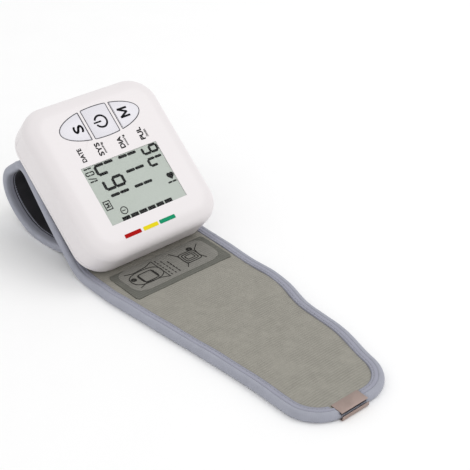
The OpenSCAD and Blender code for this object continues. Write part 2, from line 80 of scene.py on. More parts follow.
# %% [markdown]
# A few small helpers keep the modelling steps short. Operators act on all that is selected, so each step
# first clears the selection, and then picks its faces or edges by where they are or which way they look.
# Sizes are given in millimetres in the case's frame, because that is how such a case is drawn.

# %% Selecting and finishing helpers
def clear_selection():
    if bpy.context.object and bpy.context.object.mode != "OBJECT":
        bpy.ops.object.mode_set(mode="OBJECT")
    bpy.ops.object.select_all(action="DESELECT")


def choose(piece):
    clear_selection()
    piece.select_set(True)
    bpy.context.view_layer.objects.active = piece


def pick(piece, kind, test):
    """Open a piece in edit mode and select the faces, edges or vertices that pass a test, in millimetres."""
    choose(piece)
    bpy.ops.object.mode_set(mode="EDIT")
    bpy.ops.mesh.select_mode(type=kind)
    bpy.ops.mesh.select_all(action="DESELECT")
    mesh = bmesh.from_edit_mesh(piece.data)
    if kind == "FACE":
        for face in mesh.faces:
            face.select_set(test(face.calc_center_median() / MM, face.normal))
    elif kind == "EDGE":
        for edge in mesh.edges:
            ends = [v.co / MM for v in edge.verts]
            edge.select_set(test((ends[0] + ends[1]) / 2, (ends[1] - ends[0]).normalized()))
    else:
        for vertex in mesh.verts:
            vertex.select_set(test(vertex.co / MM, vertex.normal))
    bmesh.update_edit_mesh(piece.data)


def pick_all(piece):
    choose(piece)
    bpy.ops.object.mode_set(mode="EDIT")
    bpy.ops.mesh.select_all(action="SELECT")


def done(name=None):
    """Leave edit mode, and apply what the object's transform says to its mesh."""
    if bpy.context.object.mode != "OBJECT":
        bpy.ops.object.mode_set(mode="OBJECT")
    bpy.ops.object.transform_apply(location=True, rotation=True, scale=True)
    piece = bpy.context.object
    if name:
        piece.name = name
        piece.data.name = name
    return piece


def block(x0, x1, y0, y1, z0, z1, name="block"):
    clear_selection()
    middle = ((x0 + x1) / 2 * MM, (y0 + y1) / 2 * MM, (z0 + z1) / 2 * MM)
    bpy.ops.mesh.primitive_cube_add(size=1, location=middle)
    bpy.context.object.scale = ((x1 - x0) * MM, (y1 - y0) * MM, (z1 - z0) * MM)
    return done(name)


def rod(radius, length, middle, turn=(0, 0, 0), sides=48, name="rod"):
    clear_selection()
    bpy.ops.mesh.primitive_cylinder_add(vertices=sides, radius=radius * MM, depth=length * MM,
                                        location=[c * MM for c in middle], rotation=turn)
    return done(name)


def modify(piece, kind, **settings):
    """Add a modifier with its settings, and apply it."""
    choose(piece)
    modifier = piece.modifiers.new(kind.title(), kind)
    for key, value in settings.items():
        setattr(modifier, key, value)
    bpy.ops.object.modifier_apply(modifier=modifier.name)
    return piece


def combine(piece, other, operation="DIFFERENCE"):
    modify(piece, "BOOLEAN", object=other, operation=operation, solver="EXACT")
    bpy.data.objects.remove(other)
    return piece


def copy_of(piece, name):
    made = piece.copy()
    made.data = piece.data.copy()
    made.name = name
    made.data.name = name
    bpy.context.scene.collection.objects.link(made)
    return made


def smooth(piece, angle=35):
    choose(piece)
    bpy.ops.object.shade_smooth_by_angle(angle=math.radians(angle))
    return piece


def soften(piece, width, segments=2, angle=35):
    return modify(piece, "BEVEL", width=width * MM, segments=segments, limit_method="ANGLE",
                  angle_limit=math.radians(angle), harden_normals=False)


def set_in_case(piece):
    """Put a piece that was drawn in the case's frame in its place."""
    piece.data.transform(CASE_PLACE)
    return piece

# %% [markdown]
# Every finish is a small tree of nodes. Two small classes keep them readable: a wire carries one value
# and takes part in ordinary arithmetic, and a finish adds any node with one method. Patterns follow the
# piece's own coordinates, or the cloth's own map where a weave has to follow the bends of the cuff.

# %% Wires and finishes
class Wire:
    """One value inside a finish, so that shader maths reads like ordinary maths."""

    def __init__(self, finish, socket):
        self.finish = finish
        self.socket = socket

    def maths(self, operation, first, second=0.0):
        return self.finish.node("ShaderNodeMath", {"operation": operation}, {0: first, 1: second})

    def __add__(self, other):
        return self.maths("ADD", self, other)

    def __radd__(self, other):
        return self.maths("ADD", other, self)

    def __sub__(self, other):
        return self.maths("SUBTRACT", self, other)

    def __rsub__(self, other):
        return self.maths("SUBTRACT", other, self)

    def __mul__(self, other):
        return self.maths("MULTIPLY", self, other)

    def __rmul__(self, other):
        return self.maths("MULTIPLY", other, self)

    def sine(self):
        return self.maths("SINE", self)

    def size(self):
        return self.maths("ABSOLUTE", self)

    def over(self, limit):
        return self.maths("GREATER_THAN", self, limit)

    def under(self, limit):
        return self.maths("LESS_THAN", self, limit)


class Finish:
    """A material under construction."""

    def __init__(self, name):
        self.material = bpy.data.materials.new(name)
        self.material.use_nodes = True
        self.tree = self.material.node_tree
        self.tree.nodes.clear()

    def node(self, kind, settings=None, inputs=None, output=0):
        made = self.tree.nodes.new(kind)
        for name, value in (settings or {}).items():
            if name == "stops":
                ramp = made.color_ramp
                for i, (place, shade) in enumerate(value):
                    stop = ramp.elements[i] if i < 2 else ramp.elements.new(place)
                    stop.position = place
                    stop.color = (shade, shade, shade, 1)
            else:
                setattr(made, name, value)
        for name, value in (inputs or {}).items():
            if isinstance(value, Wire):
                self.tree.links.new(value.socket, made.inputs[name])
            else:
                made.inputs[name].default_value = value
        return Wire(self, made.outputs[output])

    def spot(self, kind="Object"):
        return self.node("ShaderNodeTexCoord", output=kind)

    def cloth_ways(self, cloth):
        """The two directions of a cloth's own map: along it and across it."""
        parts = self.node("ShaderNodeSeparateXYZ", None, {"Vector": cloth}).socket.node
        return Wire(self, parts.outputs["X"]), Wire(self, parts.outputs["Y"])

    def stretch(self, spot, x=1, y=1, z=1):
        return self.node("ShaderNodeMapping", None, {"Vector": spot, "Scale": (x, y, z)})

    def clouds(self, spot, scale, detail=3.0, rough=0.55):
        inputs = {"Vector": spot, "Scale": scale, "Detail": detail, "Roughness": rough}
        return self.node("ShaderNodeTexNoise", None, inputs)

    def cells(self, spot, scale):
        return self.node("ShaderNodeTexVoronoi", None, {"Vector": spot, "Scale": scale})

    def ramp(self, value, *stops):
        return self.node("ShaderNodeValToRGB", {"stops": stops}, {"Fac": value})

    def blend(self, share, first, second):
        settings = {"data_type": "RGBA"}
        return self.node("ShaderNodeMix", settings, {0: share, 6: first, 7: second}, output=2)

    def bump(self, height, distance, strength=1.0):
        inputs = {"Height": height, "Distance": distance * MM, "Strength": strength}
        return self.node("ShaderNodeBump", None, inputs)

    def surface(self, **inputs):
        named = {key.replace("_", " "): value for key, value in inputs.items()}
        shader = self.node("ShaderNodeBsdfPrincipled", None, named)
        self.node_out(shader)
        return self.material

    def node_out(self, shader):
        made = self.tree.nodes.new("ShaderNodeOutputMaterial")
        self.tree.links.new(shader.socket, made.inputs["Surface"])


def paint(red, green, blue):
    """A colour as it is given, 0 to 255, turned into the shader's linear values."""
    steps = [c / 255 for c in (red, green, blue)]
    return tuple(c / 12.92 if c < 0.04045 else ((c + 0.055) / 1.055) ** 2.4 for c in steps) + (1,)


def shade(colour, amount):
    return tuple(c * amount for c in colour[:3]) + (1,)

# %% [markdown]
# Moulded plastic is never quite even. The mould gives it a very fine grain, its gloss wanders a little,
# and handled parts collect faint scuffs. One recipe makes all the plastics, from the shell's soft satin
# white to the plain black of a switch, and its numbers set the colour, the gloss and the grain.

# %% Plastics and rubber
def moulded(name, colour, rough=0.35, grain=0.004, coat=0.0, wander=0.06, grain_size=0.35):
    finish = Finish(name)
    spot = finish.spot()
    broad = finish.clouds(spot, 1000 / 18, 2)
    fine = finish.clouds(spot, 1000 / grain_size, 2)
    scuffs = finish.clouds(finish.stretch(spot, 1, 0.12, 1), 1000 / 1.4, 4)
    tone = finish.blend(broad, shade(colour, 0.975), shade(colour, 1.012))
    worn = finish.blend(finish.ramp(scuffs, (0.62, 0), (0.78, 0.35)), tone, shade(colour, 0.93))
    gloss = rough + wander * (broad - 0.5) + 0.05 * (fine - 0.5)
    return finish.surface(Base_Color=worn, Roughness=gloss, Coat_Weight=coat, Coat_Roughness=0.12,
                          Specular_IOR_Level=0.45, Normal=finish.bump(fine, grain))


def soft_rubber(name, colour, rough=0.6):
    finish = Finish(name)
    spot = finish.spot()
    dust = finish.clouds(spot, 1000 / 1.2, 5, 0.7)
    tone = finish.blend(dust, shade(colour, 0.85), shade(colour, 1.12))
    return finish.surface(Base_Color=tone, Roughness=rough + 0.12 * (dust - 0.5),
                          Normal=finish.bump(dust, 0.03))

# %% [markdown]
# Metals differ in how they were finished. The clip is satin nickel, brushed one way; springs and screws
# are bright zinc with small marks. Stretching a noise along one axis gives the brushed lines.

# %% Metals
def brushed(name, colour, rough=0.3, along=(1, 14, 14), depth=0.01, tarnish=0.12):
    finish = Finish(name)
    spot = finish.spot()
    lines = finish.clouds(finish.stretch(spot, *along), 1000 / 3, 4, 0.6)
    stains = finish.clouds(spot, 1000 / 5, 3)
    tone = finish.blend(finish.ramp(stains, (0.4, 0), (0.75, 1)), colour, shade(colour, 1 - tarnish))
    return finish.surface(Base_Color=tone, Metallic=1.0, Roughness=rough + 0.16 * (lines - 0.5),
                          Normal=finish.bump(lines, depth))

# %% [markdown]
# The cuff is made of four cloths. Its face is a ribbed loop fabric, the ribs across the strap and a little
# fuzzy. The lining inside the loop is a smooth dark nylon. A lavender grey woven tape binds the edge, and
# the label is printed on the face. Each cloth reads its own map, drawn in millimetres along and across.

# %% Cloths
FACE_CLOTH = paint(150, 147, 138)
TAPE_CLOTH = paint(160, 162, 173)
FOLD_LINE = 2.3
STITCH_LINE = 4.0


def ribbed_cloth(name, colour):
    finish = Finish(name)
    spot = finish.spot()
    cloth = finish.spot("UV")
    along, across = finish.cloth_ways(cloth)
    sway = finish.clouds(finish.stretch(cloth, 0.25, 0.25, 1), 1.0, 2)
    fuzz = finish.clouds(spot, 1000 / 0.45, 4, 0.75)
    mottle = finish.clouds(spot, 1000 / 3.2, 5, 0.7)
    broad = finish.clouds(spot, 1000 / 26, 3, 0.6)
    ribs = (along * (2 * math.pi / 1.15) + sway * 3.0).sine() * 0.5 + 0.5
    patches = finish.ramp(finish.clouds(spot, 1000 / 7, 3), (0.35, 0.2), (0.6, 1))
    knots = (across * (2 * math.pi / 0.8) + sway * 3).sine() * 0.5 + 0.5
    height = ribs * 0.55 + knots * 0.12 + fuzz * 0.6
    light = finish.blend(mottle, shade(colour, 0.72), shade(colour, 1.32))
    # Darker in the rib valleys: painted shade in the hollows between the ribs, mixed with random tone from
    # the fuzz.
    valley_shade_and_fuzz = (1 - ribs) * patches * 0.62 + (fuzz - 0.5).size() * 2.2
    tone = finish.blend(valley_shade_and_fuzz, light, shade(colour, 0.66))
    tone = finish.blend(broad * 0.35, tone, shade(colour, 1.06))
    return finish.surface(Base_Color=tone, Roughness=0.88 + 0.1 * (fuzz - 0.5), Sheen_Weight=0.12,
                          Sheen_Roughness=0.5, Specular_IOR_Level=0.2, Normal=finish.bump(height, 0.16, 0.8))


def binding_tape(name, colour):
    finish = Finish(name)
    spot = finish.spot()
    cloth = finish.spot("UV")
    along, across = finish.cloth_ways(cloth)
    fuzz = finish.clouds(spot, 1000 / 0.5, 4, 0.7)
    mottle = finish.clouds(spot, 1000 / 5, 4, 0.65)
    threads = (along * (2 * math.pi / 0.7) + across * 4).sine() * 0.5 + 0.5
    stitches = (along * (2 * math.pi / 2.0)).sine().over(-0.5)
    line = (across - STITCH_LINE).size().under(0.16)
    # The stitch groove and the tape's inner border beside the face cloth are darkened: painted shade. The
    # same mask also sinks the groove in the bump.
    stitch_groove_and_shade = (across - STITCH_LINE).size().under(0.26) + across.over(4.62) * 1.6
    # The fold along the middle of the tape is darkened: painted shade in the crease.
    fold = (across - FOLD_LINE).size().under(0.22)
    inner = across.over(FOLD_LINE)
    tone = finish.blend(mottle, shade(colour, 0.86), shade(colour, 1.12))
    tone = finish.blend(threads * 0.14, tone, shade(colour, 0.7))
    tone = finish.blend(inner * 0.5, tone, paint(148, 148, 164))
    tone = finish.blend(fold * 0.35, tone, shade(colour, 0.6))
    tone = finish.blend(stitch_groove_and_shade * 0.3, tone, shade(colour, 0.35))
    tone = finish.blend(stitches * line * 0.8, tone, shade(colour, 1.0))
    height = threads * 0.35 + fuzz * 0.5 + stitches * line * 0.6 - stitch_groove_and_shade * 0.5
    return finish.surface(Base_Color=tone, Roughness=0.78 + 0.12 * (fuzz - 0.5), Sheen_Weight=0.15,
                          Sheen_Roughness=0.4, Specular_IOR_Level=0.25, Normal=finish.bump(height, 0.12, 0.8))


def smooth_lining(name, colour):
    finish = Finish(name)
    cloth = finish.spot("UV")
    spot = finish.spot()
    along, across = finish.cloth_ways(cloth)
    weave = (along * (2 * math.pi / 0.5)).sine() * (across * (2 * math.pi / 0.5)).sine()
    crease_height_and_shading = finish.clouds(finish.stretch(cloth, 0.12, 0.03, 1), 1.0, 3)
    dust = finish.clouds(spot, 1000 / 0.8, 5, 0.7)
    # The colour follows the crease height, lighter on the ridges and darker in the hollows: painted light and
    # shade of the creases.
    tone = finish.blend(crease_height_and_shading, shade(colour, 0.8), shade(colour, 2.2))
    tone = finish.blend(finish.ramp(dust, (0.66, 0), (0.8, 0.3)), tone, shade(colour, 3.5))
    return finish.surface(Base_Color=tone, Roughness=0.55 + 0.15 * (crease_height_and_shading - 0.5), Sheen_Weight=0.08,
                          Sheen_Roughness=0.35, Normal=finish.bump(weave * 0.3 + crease_height_and_shading * 2, 0.1, 0.7))

# %% [markdown]
# The case is one rounded block before it is cut into covers. Its plan is a rectangle with wide corners.
# Seen in section the side rises straight, turns in over a small rim, and runs on over a long gentle brow
# into the flat of the face. Repeated insets of the top face draw exactly that section, ring by ring, and
# the rings keep the surface smooth where it catches the light. The back edge is drawn the same way.

# %% The case block
CASE_L = 72
CASE_W = 66
CORNER_R = 12.5
REAR_R = 4.3
RIM_R = 4.5
BROW_R = 14
BROW_SLOPE = math.radians(20)
RIM_Z = CASE_T - BROW_R + (BROW_R - RIM_R) * math.cos(BROW_SLOPE)
BROW_X = RIM_R + (BROW_R - RIM_R) * math.sin(BROW_SLOPE)
rim_end = math.pi / 2 + BROW_SLOPE
front_edge = [(0, RIM_Z)]
for i in range(1, 11):
    a = math.pi + (rim_end - math.pi) * i / 10
    front_edge.append((RIM_R + RIM_R * math.cos(a), RIM_Z + RIM_R * math.sin(a)))
for i in range(1, 7):
    a = rim_end + (math.pi / 2 - rim_end) * i / 6
    front_edge.append((BROW_X + BROW_R * math.cos(a), CASE_T - BROW_R + BROW_R * math.sin(a)))
front_edge.append((BROW_X + 0.7, CASE_T))
rear_edge = [(REAR_R * (1 - math.cos(a)), REAR_R * (1 - math.sin(a)))
             for a in [math.pi / 2 * i / 9 for i in range(10)]] + [(REAR_R + 0.7, 0)]


def inset_rings(piece, up, edge):
    """Inset the face that looks up or down once for each step of the section."""
    pick(piece, "FACE", lambda middle, normal: normal.z * up > 0.9)
    for (x0, z0), (x1, z1) in zip(edge, edge[1:]):
        bpy.ops.mesh.inset(thickness=(x1 - x0) * MM, depth=abs(z1 - z0) * MM, use_even_offset=True)


case_block = block(-CASE_L / 2, CASE_L / 2, -CASE_W / 2, CASE_W / 2, REAR_R, RIM_Z, "case_block")
pick(case_block, "EDGE", lambda middle, way: abs(way.z) > 0.9)
bpy.ops.mesh.bevel(offset=CORNER_R * MM, segments=18, affect="EDGES")
done()
inset_rings(case_block, 1, front_edge)
inset_rings(case_block, -1, rear_edge)
done()
block_size = [round(d / MM, 2) for d in case_block.dimensions]
print("case block:", len(case_block.data.polygons), "faces,", block_size)

# %% [markdown]
# The keys share one oval, cut across by two webs. Each key's outline is that oval as a flat face, trimmed
# by bisecting it, with its sharp tips rounded. The same outline makes three things: the opening in the
# cover, the key itself, a little smaller, and a dark band in the gap between them that paints its shade.

# %% Key outlines
KEYS_X = 20.9
KEYS_Y = -0.3
KEYS_A = 19.9
KEYS_B = 7.4
POWER_A = 6.4
WEB = 1.1
OUTLINE = 0.36
KEY_RISE = 0.16


def trim(y, keep_above):
    bpy.ops.mesh.select_all(action="SELECT")
    bpy.ops.mesh.bisect(plane_co=(0, y * MM, 0), plane_no=(0, 1, 0), clear_inner=keep_above,
                        clear_outer=not keep_above)


def key_outline(k, name):
    clear_selection()
    bpy.ops.mesh.primitive_circle_add(vertices=132, radius=1, fill_type="NGON",
                                      location=(KEYS_X * MM, KEYS_Y * MM, 0))
    bpy.context.object.scale = (KEYS_B * MM, KEYS_A * MM, 1)
    piece = done(name)
    pick_all(piece)
    cuts = [KEYS_Y + k * (POWER_A + WEB)] if k else [KEYS_Y - POWER_A, KEYS_Y + POWER_A]
    for y in cuts:
        trim(y, y > KEYS_Y if k else y < KEYS_Y)
    done()
    pick(piece, "VERT", lambda at, normal: abs(at.x - KEYS_X) > 3 and min(abs(at.y - y) for y in cuts) < 0.01)
    bpy.ops.mesh.bevel(offset=0.55 * MM, segments=4, affect="VERTICES")
    return done()


def raise_outline(piece, z0, z1):
    """Give a flat outline its height."""
    pick_all(piece)
    bpy.ops.transform.translate(value=(0, 0, z0 * MM))
    bpy.ops.mesh.extrude_region_move(TRANSFORM_OT_translate={"value": (0, 0, (z1 - z0) * MM)})
    bpy.ops.mesh.select_all(action="SELECT")
    bpy.ops.mesh.normals_make_consistent(inside=False)
    return done()


key_ids = {"key_s": 1, "key_power": 0, "key_m": -1}
key_openings = [raise_outline(key_outline(k, f"opening_{n}"), 14, 22) for n, k in key_ids.items()]
print("key openings:", [len(o.data.polygons) for o in key_openings])

# %% [markdown]
# Now the block becomes the covers. Its wall is two millimetres, so a copy is given its thickness inwards.
# Boolean cuts then part it just as moulded covers part: front from back along a fine line low on the side,
# the window and key openings through the face, and the battery door's space in the far side wall. A small
# bevel breaks every cut edge, because no moulded edge is perfectly sharp.

# %% Front and back covers
WALL = 2
SPLIT_Z = 5
SPLIT_GAP = 0.05
WINDOW_L = 26.9
WINDOW_W = 38.2
DOOR_X0 = -25.9
DOOR_X1 = -2.9
HINGE_Y = -31.5
HINGE_Z = 14.2
BARREL_R = 1.5
screw_places = [(-29, 25), (-29, -25), (28.5, 25.5), (28.5, -25.5)]
along_x = (0, math.pi / 2, 0)


def door_cutters():
    gap = 0.2
    middle = (DOOR_X0 + DOOR_X1) / 2
    width = DOOR_X1 - DOOR_X0 + 2 * gap
    return [block(DOOR_X0 - gap, DOOR_X1 + gap, -40, -29.6, 1.4 - gap, HINGE_Z),
            rod(BARREL_R + gap, width, (middle, HINGE_Y, HINGE_Z), along_x),
            block(DOOR_X0 - gap, DOOR_X1 + gap, -40, HINGE_Y, HINGE_Z - 0.02, HINGE_Z + BARREL_R + gap)]


shell = copy_of(case_block, "case_shell")
modify(shell, "SOLIDIFY", thickness=WALL * MM, offset=-1, use_even_offset=True)
front = combine(copy_of(shell, "front_shell"), block(-40, 40, -40, 40, SPLIT_Z + SPLIT_GAP, 30), "INTERSECT")
window = block(WINDOW_X - WINDOW_L / 2, WINDOW_X + WINDOW_L / 2, -WINDOW_W / 2, WINDOW_W / 2, 14, 22)
for cutter in [window, *key_openings, *door_cutters()]:
    combine(front, cutter)
back = combine(copy_of(shell, "back_shell"), block(-40, 40, -40, 40, -2, SPLIT_Z - SPLIT_GAP), "INTERSECT")
for cutter in door_cutters():
    combine(back, cutter)
combine(back, rod(5, 5.4, (-36.3, 0, -3.4), along_x, 96))
for x, y in screw_places:
    combine(back, rod(1.9, 2.4, (x, y, 0.2)))
bpy.data.objects.remove(shell)
for cover in (front, back):
    soften(cover, 0.1, 2, 50)
    smooth(cover, 30)
print("covers:", len(front.data.polygons), "and", len(back.data.polygons), "faces")

# %% [markdown]
# The battery door is the piece of that same block that fills its space, with a barrel along its upper edge
# that turns on a steel pin. Cutting it from the block keeps its outside flush with the covers all round.

# %% Battery door
door = combine(case_block, block(DOOR_X0, DOOR_X1, -40, -31.1, 1.4, HINGE_Z), "INTERSECT")
barrel = rod(BARREL_R, DOOR_X1 - DOOR_X0, ((DOOR_X0 + DOOR_X1) / 2, HINGE_Y, HINGE_Z), along_x)
combine(door, barrel, "UNION")
door.name = "battery_door_shell"
soften(door, 0.12, 2, 50)
smooth(door, 30)
white = moulded("shell_white", paint(227, 222, 223), rough=0.34, grain=0.003, coat=0.12)
for piece, node, body in ((front, "front_cover", "monitor"), (back, "back_cover", "monitor"),
                          (door, "battery_door", "battery_door")):
    set_in_case(piece)
    modify(piece, "WEIGHTED_NORMAL", keep_sharp=True, weight=100)
    piece.data.materials.clear()
    piece.data.materials.append(white)
    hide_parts(node)
    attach(piece, body)
print("battery door:", len(door.data.polygons), "faces")

# %% [markdown]
# Each key is its outline, drawn in by the gap, raised a little above the face and rounded over its edge.
# The gap round it shows as a fine dark line. A thin dark band, a hair below the face, is painted shade that
# stands for it.

# %% Keys and the painted shade in their gaps
def keep_inset(piece, width, keep_band):
    """Inset the flat outline and keep either the band round it or the face inside it."""
    pick(piece, "FACE", lambda middle, normal: True)
    bpy.ops.mesh.inset(thickness=width * MM, depth=0, use_even_offset=True)
    if not keep_band:
        bpy.ops.mesh.select_all(action="INVERT")
    bpy.ops.mesh.delete(type="FACE")
    return done()


key_plastic = moulded("key_plastic", paint(221, 219, 225), rough=0.3, grain=0.002, coat=0.15)
# A dark finish that paints the shade down in the gaps round the keys and in the clip's slit.
gap_painted_shade = moulded("gap_painted_shade", paint(58, 58, 66), rough=0.7, grain=0.01)
for name, k in key_ids.items():
    key = keep_inset(key_outline(k, f"{name}_cap"), OUTLINE, False)
    raise_outline(key, 16, CASE_T + KEY_RISE)
    pick(key, "EDGE", lambda middle, way: middle.z > CASE_T and abs(way.z) < 0.1)
    bpy.ops.mesh.bevel(offset=0.28 * MM, segments=3, affect="EDGES")
    smooth(done(), 40)
    # The band is painted shade: a dark strip in the gap, where the shadow falls.
    band = keep_inset(key_outline(k, f"{name}_gap"), OUTLINE + 0.02, True)
    raise_outline(band, CASE_T - 0.9, CASE_T - 0.06)
    for piece, finish in ((key, key_plastic), (band, gap_painted_shade)):
        piece.data.materials.append(finish)
        set_in_case(piece)
    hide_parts(name)
    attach(key, name)
    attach(band, "monitor")
print("keys:", ", ".join(key_ids))

# %% [markdown]
# Printing lies on the surface as a film of ink. Letters come from the font as text, made a mesh and then
# fitted to the place that they fill. The wording is generic: what is measured and its unit. The signs are
# built from simple flat shapes. All of it is a few hundredths of a millimetre thick.

# %% Ink helpers
INK_T = 0.04


def fit(piece, x0, x1, y0, y1, z):
    """Scale a flat piece to fill a box, lying on height z."""
    spots = [v.co for v in piece.data.vertices]
    lo = Vector((min(p.x for p in spots), min(p.y for p in spots), min(p.z for p in spots)))
    hi = Vector((max(p.x for p in spots), max(p.y for p in spots), max(p.z for p in spots)))
    piece.scale = ((x1 - x0) * MM / (hi.x - lo.x), (y1 - y0) * MM / (hi.y - lo.y), INK_T * MM / (hi.z - lo.z))
    piece.location = (x0 * MM - lo.x * piece.scale.x, y0 * MM - lo.y * piece.scale.y,
                      z * MM - lo.z * piece.scale.z)
    choose(piece)
    return done()


def lettering(body, x0, x1, y0, y1, z, name, weight=0.1):
    """A word that fills a box, made bolder by copies of it that stand a little aside."""
    clear_selection()
    bpy.ops.object.text_add(location=(0, 0, 0))
    text = bpy.context.object
    text.data.body = body
    text.data.extrude = 0.01
    text.data.resolution_u = 4
    bpy.ops.object.convert(target="MESH")
    word = fit(bpy.context.object, x0 + weight, x1 - weight, y0 + weight, y1 - weight, z)
    copies = [copy_of(word, name) for i in range(4)]
    for copy, (dx, dy) in zip(copies, ((1, 0), (-1, 0), (0, 1), (0, -1))):
        copy.data.transform(Matrix.Translation((dx * weight * MM, dy * weight * MM, 0)))
        copy.select_set(True)
    word.select_set(True)
    bpy.context.view_layer.objects.active = word
    bpy.ops.object.join()
    return done(name)


def stroke(x0, y0, x1, y1, width, z, name="stroke"):
    """A straight line of ink between two points."""
    clear_selection()
    middle = ((x0 + x1) / 2 * MM, (y0 + y1) / 2 * MM, (z + INK_T / 2) * MM)
    turn = (0, 0, math.atan2(y1 - y0, x1 - x0))
    bpy.ops.mesh.primitive_cube_add(size=1, location=middle, rotation=turn)
    length = math.dist((x0, y0), (x1, y1)) + width * 0.6
    bpy.context.object.scale = (length * MM, width * MM, INK_T * MM)
    return done(name)


def letter_m(x0, x1, y0, y1, width, z):
    middle = (x0 + x1) / 2
    low = y0 + (y1 - y0) * 0.15
    return [stroke(x0, y0, x0, y1, width, z), stroke(x1, y0, x1, y1, width, z),
            stroke(x0, y1, middle, low, width, z), stroke(x1, y1, middle, low, width, z)]


def ring(radius, width, x, y, z, name, sides=48):
    clear_selection()
    bpy.ops.mesh.primitive_circle_add(vertices=sides, radius=radius * MM, fill_type="NGON",
                                      location=(x * MM, y * MM, 0))
    piece = keep_inset(done(name), width, True)
    return raise_outline(piece, z, z + INK_T)


def bar(length, width, x, y, z, name, upright=True):
    """A flat bar with pointed ends, as a display's segments have."""
    clear_selection()
    bpy.ops.mesh.primitive_circle_add(vertices=6, radius=width / math.sqrt(3) * MM, fill_type="NGON")
    piece = done(name)
    reach = length / 2 - width / math.sqrt(3)
    for side in (1, -1):
        pick(piece, "VERT", lambda at, normal: at.y * side > 0.01)
        bpy.ops.transform.translate(value=(0, side * reach * MM, 0))
        done()
    if not upright:
        piece.rotation_euler = (0, 0, math.pi / 2)
    piece.location = (x * MM, y * MM, 0)
    choose(piece)
    done()
    return raise_outline(piece, z, z + INK_T)


def join_as(name, parts, finish, body):
    """Join prints of one ink, put them in their place and let them ride."""
    clear_selection()
    for part in parts:
        part.select_set(True)
    bpy.context.view_layer.objects.active = parts[0]
    bpy.ops.object.join()
    piece = done(name)
    piece.data.materials.clear()
    piece.data.materials.append(finish)
    smooth(piece, 20)
    set_in_case(piece)
    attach(piece, body)
    return piece


def ink(name, colour, rough=0.45):
    finish = Finish(name)
    flecks = finish.clouds(finish.spot(), 1000 / 0.25, 3)
    tone = finish.blend(flecks, shade(colour, 0.9), shade(colour, 1.15))
    return finish.surface(Base_Color=tone, Roughness=rough + 0.1 * (flecks - 0.5), Specular_IOR_Level=0.04)


print("ink helpers ready")

# %% [markdown]
# The face carries few prints: a name and a unit beside each reading, a scale of three coloured fields that
# matches the row of blocks on the display, and the signs on the keys.

# %% Prints on the face and keys
POWER_SIGN = (20.6, -0.5)
face_z = CASE_T + 0.01
key_z = CASE_T + 0.165
dark_ink = ink("print_dark", paint(24, 24, 28))
face_prints = [lettering("DATE", 6.2, 12.6, 14.4, 16.5, face_z, "print_date"),
               lettering("SYS", 6.3, 12.5, 5.6, 8.1, face_z, "print_sys", 0.13),
               lettering("mmHg", 6.9, 12.0, 3.9, 5.2, face_z, "print_sys_unit", 0.05),
               lettering("DIA", 6.2, 11.6, -5.0, -2.6, face_z, "print_dia", 0.13),
               lettering("mmHg", 6.7, 11.8, -7.0, -5.7, face_z, "print_dia_unit", 0.05),
               lettering("PUL", 6.7, 12.6, -15.7, -13.2, face_z, "print_pul", 0.13),
               lettering("/min", 7.2, 10.9, -17.5, -16.1, face_z, "print_pul_unit", 0.05)]
join_as("face_print", face_prints, dark_ink, "monitor")
power_ring = ring(3.15, 0.85, *POWER_SIGN, key_z, "sign_ring")
pick(power_ring, "FACE", lambda at, normal: at.y > 0.5 and abs(at.x - POWER_SIGN[0]) < 1.1)
bpy.ops.mesh.delete(type="FACE")
done()
power_bar = block(20.25, 20.95, -0.6, 3.1, key_z, key_z + INK_T, "sign_bar")
join_as("power_sign", [power_ring, power_bar], dark_ink, "key_power")
sign_s = lettering("S", 18.6, 22.3, 8.5, 13.3, key_z, "sign_s", 0.2)
join_as("key_s_sign", [sign_s], dark_ink, "key_s")
join_as("key_m_sign", letter_m(19.1, 22.9, -14.4, -10.2, 0.92, key_z), dark_ink, "key_m")
FIELD_X = (-29.8, -28.1)
scale_fields = {"red": ((166, 16, 14), 8.5, 16.6), "yellow": ((224, 206, 30), -0.1, 7.3),
                "green": ((24, 140, 100), -8.9, -0.9)}
for name, (colour, y0, y1) in scale_fields.items():
    field = block(*FIELD_X, y0, y1, CASE_T - 0.1, CASE_T + 0.03, f"field_{name}")
    pick(field, "EDGE", lambda at, way: abs(way.z) > 0.9)
    bpy.ops.mesh.bevel(offset=0.3 * MM, segments=4, affect="EDGES")
    done()
    join_as(f"scale_{name}", [field], ink(f"ink_{name}", paint(*colour), 0.5), "monitor")
print("prints:", len(face_prints), "words, 3 signs, 3 fields")

# %% [markdown]
# The display is a grey-green glass under a clear window. The glass is matt and almost even, and the window
# only adds a faint gloss, so that the dark readings between the two stay black.

# %% Window and display finishes
def clear_window():
    finish = Finish("window_clear")
    spot = finish.spot()
    smears = finish.clouds(finish.stretch(spot, 1, 0.3, 1), 1000 / 9, 4)
    shader = finish.node("ShaderNodeBsdfPrincipled", None,
                         {"Base Color": (0.9, 0.94, 0.92, 1), "Roughness": 0.08 + 0.08 * smears,
                          "Alpha": 0.012, "IOR": 1.49})
    finish.node_out(shader)
    return finish.material


def display_glass():
    finish = Finish("display_grey_green")
    spot = finish.spot()
    broad = finish.clouds(spot, 1000 / 30, 2)
    grains = finish.clouds(spot, 1000 / 0.3, 2)
    tone = finish.blend(broad, paint(173, 181, 173), paint(185, 192, 185))
    tone = finish.blend(grains * 0.12, tone, paint(150, 160, 150))
    return finish.surface(Base_Color=tone, Roughness=0.5 + 0.1 * (grains - 0.5))


# %% [markdown]
# The readings are bars, seven to a digit. A table says which bars make each digit, and each digit is placed
# by its corner, width, height and the thickness of its bars. A row of level blocks, a heart, a gauge and a
# boxed letter stand beside them. All of them lie on the display, just under the window.

